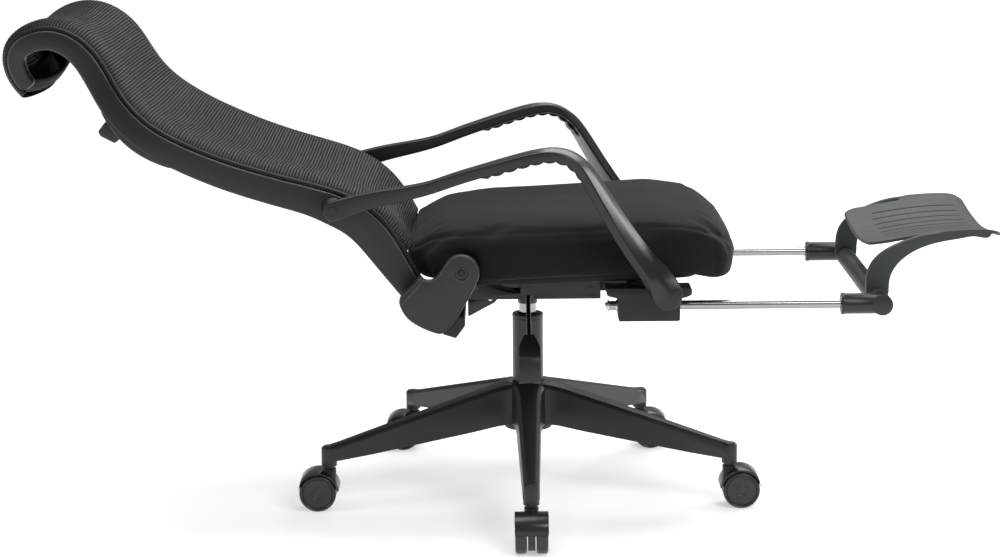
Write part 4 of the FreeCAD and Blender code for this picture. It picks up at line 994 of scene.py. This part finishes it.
# ===========================================================================
# seat cushion
# ===========================================================================
fab = Net("seat_fabric")
c = fab.coords()
w1 = fab.node("ShaderNodeTexWave", wave_type="BANDS", bands_direction="X")
w2 = fab.node("ShaderNodeTexWave", wave_type="BANDS", bands_direction="Y")
w3 = fab.node("ShaderNodeTexWave", wave_type="BANDS", bands_direction="Z")
for w, sc in ((w1, 330.0), (w2, 330.0), (w3, 330.0)):
    w.inputs["Scale"].default_value = sc
    w.inputs["Distortion"].default_value = 1.2
    w.inputs["Detail"].default_value = 1.0
    fab.link(c, w.inputs["Vector"])
weave_h = fab.math("ADD", fab.math("MULTIPLY", w1.outputs["Fac"], w2.outputs["Fac"]), fab.math("MULTIPLY", w3.outputs["Fac"], 0.4))
pill = fab.noise(c, 420.0, 4.0, 0.65)
slow = fab.noise(c, 8.0, 4.0, 0.6)
tone = fab.math("ADD", fab.math("MULTIPLY", pill, 0.5), fab.math("ADD", fab.math("MULTIPLY", slow, 0.35), fab.math("MULTIPLY", weave_h, 0.2)))
fab.link(fab.ramp(tone, [(0.30, (0.0050, 0.0050, 0.0056)), (0.62, (0.0090, 0.0090, 0.0100)), (0.85, (0.0150, 0.0150, 0.0165))]), fab.b.inputs["Base Color"])
fab.link(fab.remap(pill, 0.3, 0.7, 0.82, 0.96), fab.b.inputs["Roughness"])
hh = fab.math("ADD", fab.math("MULTIPLY", weave_h, 0.5), fab.math("MULTIPLY", pill, 0.6))
fab.link(fab.bump(hh, 0.45, 0.00035), fab.b.inputs["Normal"])
fab.set(Sheen_Weight=0.05, Sheen_Roughness=0.45, Specular_IOR_Level=0.16)
M_FABRIC = fab.m

PLAN = np.array([(0, -178, 319), (60, -178, 319), (110, -178, 318), (150, -177, 316), (172, -173, 313), (184, -164, 310.5), (190, -151.5, 309), (204, -145, 305), (215, -131, 300),
                 (222, -110, 295), (228, -86, 289), (234, -60, 281), (240, -28, 270), (244.5, 8, 255), (247.5, 55, 232)], float)
SEAM = [(-178, 436), (-165, 441), (-145, 451.5), (-115, 458.5), (-42, 463.5), (31, 466.5), (119, 471.5), (178, 474.5), (233, 474), (258, 469.5), (280, 460.5), (300, 449), (319, 434)]


def superell(n=140):
    """plan outline of the cushion as a closed loop from the table"""
    right = [(xr, -y) for y, xr, xf in PLAN]
    front = [(xf, -y) for y, xr, xf in PLAN]
    side = [(140.0, -249.5)]
    loop = right + side + front[::-1]
    loop = loop + [(x, -y) for x, y in loop[::-1]]
    out = []
    for p in loop:
        if not out or math.hypot(p[0] - out[-1][0], p[1] - out[-1][1]) > 1.0:
            out.append(p)
    if math.hypot(out[0][0] - out[-1][0], out[0][1] - out[-1][1]) < 1.0:
        out.pop()
    return out


def resample(loop, n, smooth=3):
    p = np.array(loop + [loop[0]], float)
    d = np.concatenate([[0], np.cumsum(np.linalg.norm(np.diff(p, axis=0), axis=1))])
    t = np.linspace(0, d[-1], n, endpoint=False)
    q = np.stack([np.interp(t, d, p[:, 0]), np.interp(t, d, p[:, 1])], 1)
    for _ in range(smooth):
        q = 0.25 * np.roll(q, 1, 0) + 0.5 * q + 0.25 * np.roll(q, -1, 0)
    return q


def rim_at(xy, pad=0.0):
    """distance of points from the cushion's plan outline (unsigned: positive inside and outside)"""
    rim = resample(superell(), 400, 4)
    seg_a, seg_b = rim, np.roll(rim, -1, 0)
    d = np.full(len(xy), 1e9)
    for p0, p1 in zip(seg_a, seg_b):
        e = p1 - p0
        t = np.clip(((xy - p0) @ e) / (e @ e), 0, 1)
        d = np.minimum(d, np.hypot(*(xy - (p0 + t[:, None] * e)).T))
    return d


def cushion_cloth():
    src = NODES["seat_cushion"]
    me = src.data.copy()
    o = bpy.data.objects.new("seat_cushion_cover", me)
    SCENE.collection.objects.link(o)
    m = o.modifiers.new("skin", "REMESH")
    m.mode = "VOXEL"
    m.voxel_size = 0.0055
    applied(o)
    me = o.data
    n = len(me.vertices)
    co = np.zeros(n * 3, np.float32)
    no = np.zeros(n * 3, np.float32)
    me.vertices.foreach_get("co", co)
    co = co.reshape(-1, 3)
    vn = np.array([v.normal[:] for v in me.vertices], np.float32)
    start = co - vn * 0.0042
    me.vertices.foreach_set("co", start.ravel())
    me.update()
    base = start.copy()
    g = o.vertex_groups.new(name="held")
    zb = 0.3974 + 0.04 * start[:, 0]
    for i in np.nonzero(start[:, 2] < zb + 0.006)[0]:
        g.add([int(i)], 1.0, "REPLACE")
    cl = o.modifiers.new("fill", "CLOTH")
    st = cl.settings
    st.quality = 4
    st.mass = 0.3
    st.tension_stiffness = 18.0
    st.compression_stiffness = 18.0
    st.shear_stiffness = 8.0
    st.bending_stiffness = 2.0
    st.use_pressure = True
    st.uniform_pressure_force = 4.0
    st.vertex_group_mass = "held"
    st.effector_weights.gravity = 0.0
    cl.collision_settings.use_collision = False
    SCENE.frame_start, SCENE.frame_end = 1, 20
    cl.point_cache.frame_start, cl.point_cache.frame_end = 1, 20
    for f in range(1, 21):
        SCENE.frame_set(f)
    dg = bpy.context.evaluated_depsgraph_get()
    ev = o.evaluated_get(dg)
    got = np.zeros(n * 3, np.float32)
    ev.data.vertices.foreach_get("co", got)
    got = got.reshape(-1, 3)
    move = got - start
    ln = np.linalg.norm(move, axis=1)
    cap = 0.0075
    base = start + move * np.minimum(1.0, cap / np.maximum(ln, 1e-9))[:, None]
    o.modifiers.clear()
    SCENE.frame_set(1)
    me.vertices.foreach_set("co", base.astype(np.float32).ravel())
    me.update()
    bm = bmesh.new()
    bm.from_mesh(me)
    for _ in range(4):
        bmesh.ops.smooth_vert(bm, verts=bm.verts, factor=0.5, use_axis_x=True, use_axis_y=True, use_axis_z=True)
    bm.to_mesh(me)
    bm.free()
    m = o.modifiers.new("finer", "SUBSURF")
    m.levels = m.render_levels = 1
    applied(o)
    me = o.data
    n = len(me.vertices)
    co = np.zeros(n * 3, np.float32)
    me.vertices.foreach_get("co", co)
    p = co.reshape(-1, 3).astype(float) / MM
    vn = np.array([v.normal[:] for v in me.vertices])
    # filled back out to the plan size of the seat, skirt pulled down over the pan's rim, nose hanging lowest
    box_lo, box_hi = [np.array(v[:]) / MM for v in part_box("seat_cushion")]
    lo, hi = p.min(0), p.max(0)
    for k, (g0, g1) in enumerate(((1.0, 2.0), (1.5, 1.5), (0.0, 1.0))):
        p[:, k] = (p[:, k] - lo[k]) / (hi[k] - lo[k]) * ((box_hi[k] + g1) - (box_lo[k] - g0)) + (box_lo[k] - g0)
    low = np.clip((446.0 - p[:, 2]) / 42.0, 0, 1)
    low = low * low * (3 - 2 * low)
    fx = np.clip((p[:, 0] - 215.0) / 70.0, 0, 1)
    fx = fx * fx * (3 - 2 * fx)
    rimd = rim_at(p[:, :2])
    out = np.exp(-(rimd / 24.0) ** 4)
    p[:, 2] -= low * out * (4.0 + 12.5 * fx)
    rx = np.clip((-108.0 - p[:, 0]) / 55.0, 0, 1)
    rz = np.clip((446.0 - p[:, 2]) / 26.0, 0, 1) * np.clip((p[:, 2] - 372.0) / 14.0, 0, 1)
    p[:, 0] -= 11.0 * rx * rx * (3 - 2 * rx) * rz * np.exp(-(rimd / 40.0) ** 4)
    # seam between the top panel and the side band, and the short seam at each front corner
    seam = lerp(p[:, 0], SEAM)
    edge = rim_at(p[:, :2])
    near = np.exp(-(edge / 26.0) ** 4)
    wob = 0.35 * np.sin(p[:, 0] * 0.045) + 0.3 * np.sin(p[:, 1] * 0.05 + 1.3)
    d = p[:, 2] - (seam + wob)
    depth = 2.1 * np.exp(-(d / 2.4) ** 2) - 0.9 * np.exp(-((d - 5.5) / 3.4) ** 2) - 0.9 * np.exp(-((d + 5.5) / 3.4) ** 2)
    for ys in (-1, 1):
        q = np.hypot(p[:, 0] - 283.0, p[:, 1] - ys * 231.0)
        band = np.clip((seam - 2.0 - p[:, 2]) / 8.0, 0, 1) * np.clip((p[:, 2] - 402.0) / 8.0, 0, 1)
        depth = depth + (1.5 * np.exp(-(q / 3.4) ** 2)) * band / np.maximum(near, 0.2)
    # slack in the cover: shallow puckers that run away from the seam, and a soft dish in the sitting area
    pucker = 0.08 * np.sin(p[:, 0] * 0.42 + 1.5 * np.sin(p[:, 1] * 0.05)) * np.exp(-(np.abs(d) / 9.0))
    dish = 2.4 * np.exp(-((p[:, 0] - 40.0) / 120.0) ** 2 - (p[:, 1] / 130.0) ** 2) * np.clip((p[:, 2] - 455.0) / 15.0, 0, 1)
    wave = 0.5 * np.sin(p[:, 0] * 0.021 + p[:, 1] * 0.017) * np.sin(p[:, 1] * 0.027 - 0.6) * np.clip((p[:, 2] - 440.0) / 20.0, 0, 1)
    p = p - vn * ((depth + pucker) * near)[:, None]
    p[:, 2] -= dish + wave
    me.vertices.foreach_set("co", (p * MM).astype(np.float32).ravel())
    me.update()
    me.shade_smooth()
    me.materials.clear()
    me.materials.append(M_FABRIC)
    return o


cush = cushion_cloth()
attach(cush, "seat")
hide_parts("seat_cushion")

# ===========================================================================
# rear brace: bowed side bars under the rails, a grab bar across the top, a cross bar between the rails
# ===========================================================================
def bar_y(name, outline, y0, y1, r, mat, seg=4):
    loops = []
    for k in range(seg + 1):
        a = math.pi / 2 * k / seg
        q = offset_loop(outline, r * (1 - math.sin(a)))
        loops.append([(x, y0 + r * (1 - math.cos(a)), z) for x, z in q])
    for k in range(seg + 1):
        a = math.pi / 2 * (seg - k) / seg
        q = offset_loop(outline, r * (1 - math.sin(a)))
        loops.append([(x, y1 - r * (1 - math.cos(a)), z) for x, z in q])
    return sweep(name, loops, mat, 50)


def brace_side(name):
    s0, s1 = float(SB[14]) - 4.0, float(np.interp(10.8, np.arange(len(SB)), SB))
    loops = []
    for t in np.linspace(0, 1, 70):
        s = s0 + (s1 - s0) * t
        _, _, hw, dep = back_at([s])
        hw, dep = float(hw[0]), float(dep[0])
        out = 6.2 * max(0.0, math.sin(math.pi * t)) ** 0.7
        yo, yi = hw + 6.5, hw - 11.0
        pts = round_loop([(yi, dep - 5.0), (yo, dep - 5.0), (yo, dep + out), (yi, dep + out)], [0.4, 0.4, min(2.5, 0.4 + out * 0.5), min(2.5, 0.4 + out * 0.5)], 3)
        loop = np.array(pts)
        loops.append(back_point(np.full(len(loop), s), -loop[:, 0], loop[:, 1]))
    return sweep(name, loops, M_BRACE, 50)


M_BRACE = moulded("brace_plastic", (0.0190, 0.0200, 0.0185), rough=0.44, grain=0.45, edge=0.5, spec=0.4)
bs_r = brace_side("brace_side_r")
bs_l = mirror_y(bs_r, "brace_side_l")
grab = bar_y("grab_bar", round_loop([(-637, 642), (-649, 627), (-645, 620), (-624, 609), (-614, 617), (-622, 634)], [3, 5, 5, 4, 3, 3], 4), -230, 230, 3.0, M_BRACE)
lowb = bar_y("low_bar", round_loop([tuple(back_point(SB[10], 0, 32.0)[[0, 2]]), tuple(back_point(SB[10], 0, 46.0)[[0, 2]]), tuple(back_point(SB[9], 0, 46.0)[[0, 2]]), tuple(back_point(SB[9], 0, 32.0)[[0, 2]])], 4.0, 4), -228, 228, 1.0, M_BRACE)
brace = join("rear_brace_frame", [bs_r, bs_l, grab, lowb])
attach(brace, "back")
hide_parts("rear_brace")

tube = lathe("gas_lift_tube", [(0.0, 85.0), (12.5, 85.0), (14.0, 86.0), (19.0, 106.0), (23.6, 112.0), (24.6, 116.0), (24.9, 150.0), (24.9, 287.6), (24.3, 288.2), (24.3, 289.2),
                                (25.2, 289.8), (25.3, 292.6), (24.8, 295.2), (23.2, 296.4), (17.6, 296.5), (16.9, 296.0), (16.9, 284.0), (0.0, 284.0)], (0, 0, 0), (0, 0, 1), M_TUBE, 72, 38)
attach(tube, "base")
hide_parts("gas_lift_outer_tube")
bush = lathe("gas_lift_bush", [(14.15, 280.0), (16.8, 280.0), (16.8, 297.0), (16.0, 298.0), (14.8, 298.0), (14.15, 297.4)], (0, 0, 0), (0, 0, 1), M_BUSH, 64, 38)
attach(bush, "base")
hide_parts("guide_bush")

# ===========================================================================
# caster wheels: dished discs with a rolled rim
# ===========================================================================
JOINTS = {j["name"]: j for j in frame["record"]["behaviour"]["joints"]}
WHEEL = [(0.0, 23.9), (7.0, 23.9), (7.6, 23.5), (8.4, 23.5), (9.0, 23.9), (19.5, 24.1), (22.6, 23.8), (23.4, 23.1), (24.3, 23.1), (25.0, 24.2), (26.2, 24.8), (27.6, 24.5),
         (28.8, 23.4), (29.4, 21.8), (29.5, 19.5), (29.5, 11.5), (29.3, 9.6), (28.4, 8.2), (27.0, 7.5), (25.5, 7.3), (24.0, 7.9), (10.0, 7.9), (9.0, 7.3), (0.0, 7.3)]
for k in range(1, 6):
    j = JOINTS["caster_%d_roll" % k]
    c = [v * 1000.0 for v in j["pos_m"]]
    ax = Vector(j["axis"])
    d1 = lathe("disc_a", WHEEL, c, tuple(ax), M_WHEEL, 64, 32)
    d2 = lathe("disc_b", WHEEL, c, tuple(-ax), M_WHEEL, 64, 32)
    w = join("caster_%d_discs" % k, [d1, d2])
    w.data.set_sharp_from_angle(angle=math.radians(32))
    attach(w, "caster_%d_wheel_pair" % k)
    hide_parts("caster_%d_wheels" % k)

# ===========================================================================
# rolled-edge versions of the hard parts
# ===========================================================================
for node, w in (("front_brackets", 1.6), ("footrest_elbows", 1.2), ("chassis_tray", 0.6), ("rear_stop_bracket", 0.6), ("guide_plates", 0.5), ("seat_hinge_brackets", 0.5), ("front_beam", 1.2),
                ("seat_pan", 1.5), ("ear_crossbar", 1.5), ("height_lever_paddle", 1.5), ("recline_lever_handle", 1.5),
                ("five_star_base", 1.4), ):
    refined(node, node + "_finish", w)
for k in range(1, 6):
    refined("caster_%d_hood" % k, "caster_%d_hood_finish" % k, 0.6)
base = bpy.data.objects["five_star_base_finish"]
for v in base.data.vertices:
    if math.hypot(v.co.x, v.co.y) < 0.044 and v.co.z < 0.1075:
        v.co.z = 0.1075
base.data.update()
# hood tips follow the wheels
for k in range(1, 6):
    c = Vector(JOINTS["caster_%d_roll" % k]["pos_m"])
    w = Vector(JOINTS["caster_%d_swivel" % k]["pos_m"])
    d = Vector((c.x - w.x, c.y - w.y, 0.0)).normalized()
    for v in bpy.data.objects["caster_%d_hood_finish" % k].data.vertices:
        q = v.co - c
        u, h = q.dot(d), q.z
        r, ang = math.hypot(u, h), math.degrees(math.atan2(h, u))
        if r > 0.0302 and ang < 48.0 and ang > -20.0:
            t = min(1.0, max(0.0, (ang - 8.0) / 36.0))
            r2 = 0.0301 + (r - 0.0301) * (0.12 + 0.88 * t * t * (3 - 2 * t))
            v.co += d * (r2 - r) * math.cos(math.radians(ang)) + Vector((0, 0, (r2 - r) * math.sin(math.radians(ang))))

# ===========================================================================
# footrest: dished plate with eight grooves, bowed side arms, hub tube
# ===========================================================================
PAD_MID = [(528, 419.5), (565, 425.0), (592, 430.0), (625, 435.0), (666, 439.0), (700, 440.0), (722, 437.5), (736, 432.5)]
_pm = spline([v[0] for v in PAD_MID], [v[1] for v in PAD_MID])


def pad_top(x, y):
    x = np.asarray(x, float)
    return _pm(x.ravel())[:, 0].reshape(x.shape) + np.interp(x, [528, 736], [19.0, 17.5]) * (np.abs(y) / 178.0) ** 1.7


def pad_half(x):
    x = np.asarray(x, float)
    w = 158.0 + 23.0 * (lambda t: t * t * (3 - 2 * t))(np.clip((x - 618.0) / 20.0, 0, 1))
    w = w - np.where(x < 556.0, 26.0 - np.sqrt(np.maximum(26.0 ** 2 - (556.0 - x) ** 2, 0.0)), 0.0)
    return w - np.where(x > 709.5, 22.0 - np.sqrt(np.maximum(22.0 ** 2 - (x - 709.5) ** 2, 0.0)), 0.0)


def foot_plate():
    slots = [-112, -80, -48, -16, 16, 48, 80, 112]
    ys = set()
    for c in slots:
        for o in (-3.2, -2.2, -1.6, -1.2, 0.0, 1.2, 1.6, 2.2, 3.2):
            ys.add(round(c + o, 2))
    for y in list(range(-96, 97, 32)):
        ys.update((y - 6.0, float(y), y + 6.0))
    for y in (121, 127, 132, 137, 142, 147, 151, 154, 156, 157.2, 158, 161, 165, 170, 175, 178, 180, 181):
        ys.update((float(y), -float(y)))
    ys = np.array(sorted(ys))
    xs = [530 + 26 * (1 - math.cos(t)) for t in np.linspace(0, math.pi / 2, 12)] + [560, 564, 567] + [568.6 + 1.1 * i for i in range(9)]
    xs += list(np.arange(582, 700, 4.0)) + [700.5, 702.5, 704, 705, 706, 707, 708, 709.5] + [709.5 + 22 * math.sin(t) for t in np.linspace(0.08, math.pi / 2, 12)]
    xs = np.array(sorted(set(round(v, 3) for v in xs)))
    X, Y = np.meshgrid(xs, ys, indexing="ij")
    W = pad_half(X)
    Yc = np.clip(Y, -W, W)
    Z = pad_top(X, Yc)
    edge = np.minimum(W - np.abs(Yc), np.minimum(X - 530.0, 731.5 - X))
    t = np.clip(1 - edge / 2.4, 0, 1)
    roll = 1.9 * (1 - np.sqrt(np.maximum(1 - t * t, 0)))
    cut = np.zeros_like(Z)
    for c in slots:
        x0 = 574.0 if abs(c) > 100 else 570.0
        inx = np.clip((X - x0 + 1.2) / 1.2, 0, 1) * np.clip((707.2 - X) / 1.2, 0, 1)
        cut = np.maximum(cut, np.clip((2.0 - np.abs(Y - c)) / 0.75, 0, 1) * inx)
    R, C = X.shape
    top = np.stack([X, Yc, Z - roll - 3.4 * cut], 2).reshape(-1, 3)
    bot = np.stack([X, Yc, Z - 5.0 + roll * 0.9], 2).reshape(-1, 3)
    n = R * C
    f = []
    for i in range(R - 1):
        for j in range(C - 1):
            a, b, c2, d2 = i * C + j, i * C + j + 1, (i + 1) * C + j + 1, (i + 1) * C + j
            f.append((a, d2, c2, b))
            f.append((n + a, n + b, n + c2, n + d2))
    for i in range(R - 1):
        a, d2 = i * C, (i + 1) * C
        f.append((a, n + a, n + d2, d2))
        b, c2 = i * C + C - 1, (i + 1) * C + C - 1
        f.append((b, c2, n + c2, n + b))
    for j in range(C - 1):
        f.append((j, j + 1, n + j + 1, n + j))
        e = (R - 1) * C
        f.append((e + j, n + e + j, n + e + j + 1, e + j + 1))
    o = make("foot_plate", np.concatenate([top, bot]), f, M_PAD, None, fix=False)
    # second material, near-black: painted shade for the faces inside the slots
    o.data.materials.append(M_BLACK_AND_SHADE)
    bm = bmesh.new()
    bm.from_mesh(o.data)
    bmesh.ops.remove_doubles(bm, verts=bm.verts, dist=4e-5)
    bmesh.ops.dissolve_degenerate(bm, edges=bm.edges, dist=1e-5)
    bmesh.ops.recalc_face_normals(bm, faces=bm.faces)
    # faces inside the slot grooves take the near-black material: painted shade in the slots
    for fc in bm.faces:
        m = fc.calc_center_median() / MM
        if m.z > float(pad_top(np.array([m.x]), m.y)[0]) - 4.4 and 568.0 < m.x < 708.0:
            for c in slots:
                if abs(m.y - c) < 1.95 and m.x > (572.8 if abs(c) > 100 else 568.8) and fc.normal.z > -0.5:
                    fc.material_index = 1
    bm.to_mesh(o.data)
    bm.free()
    o.data.shade_smooth()
    return o


def _zt(x):
    return float(pad_top(np.array([x]), 174.0)[0])


side_line = [(524, 352), (521.5, 368), (522.5, 386), (529, 405), (546, 423), (575, 438.5), (606, _zt(606) - 1.0), (640, _zt(640) - 0.5), (666, _zt(666) - 0.5), (700, _zt(700) - 0.8),
             (714, _zt(714) - 2.5), (712, 447.5), (690, 446.5), (670, 444.5), (640, 439.5), (609, 431), (589, 421), (571, 406), (560, 388), (557, 368), (554, 352)]
side_out = smooth_outline(side_line, 3.0)
fa = plate("foot_arm_r", side_out, -181.6, -168.0, 2.4, M_PAD, r_in=2.0, seg=4, sharp=50)
fb = mirror_y(fa, "foot_arm_l")
hub = lathe("foot_hub", [(0.0, -203.3), (14.0, -203.3), (15.2, -202.1), (15.2, -184.0), (15.2, 184.0), (15.2, 202.1), (14.0, 203.3), (0.0, 203.3)], (539.0, 0, 352.0), (0, 1, 0), M_PAD, 44, 40)
foot_pad = join("footrest_plate", [foot_plate(), fa, fb, hub])
foot_pad.data.set_sharp_from_angle(angle=math.radians(35))
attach(foot_pad, "footrest_flip")
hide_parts("footrest_pad")

# floor
me = bpy.data.meshes.new("floor")
me.from_pydata([(-30, -14, 0), (30, -14, 0), (30, 40, 0), (-30, 40, 0)], [], [(0, 1, 2, 3)])
floor = bpy.data.objects.new("floor", me)
SCENE.collection.objects.link(floor)
fn = Net("floor_paint")
fn.set(Base_Color=(0.90, 0.90, 0.90, 1.0), Roughness=0.9, Emission_Color=(1.0, 1.0, 1.0, 1.0))
fg = fn.node("ShaderNodeTexGradient", gradient_type="SPHERICAL")
fm = fn.node("ShaderNodeMapping")
fm.inputs["Scale"].default_value = (1 / 6.0, 1 / 6.0, 1 / 6.0)
fn.link(fn.coords(), fm.inputs["Vector"])
fn.link(fm.outputs[0], fg.inputs[0])
fn.link(fn.remap(fg.outputs["Fac"], 0.05, 0.85, 0.78, 0.45), fn.b.inputs["Emission Strength"])
floor.data.materials.append(fn.m)
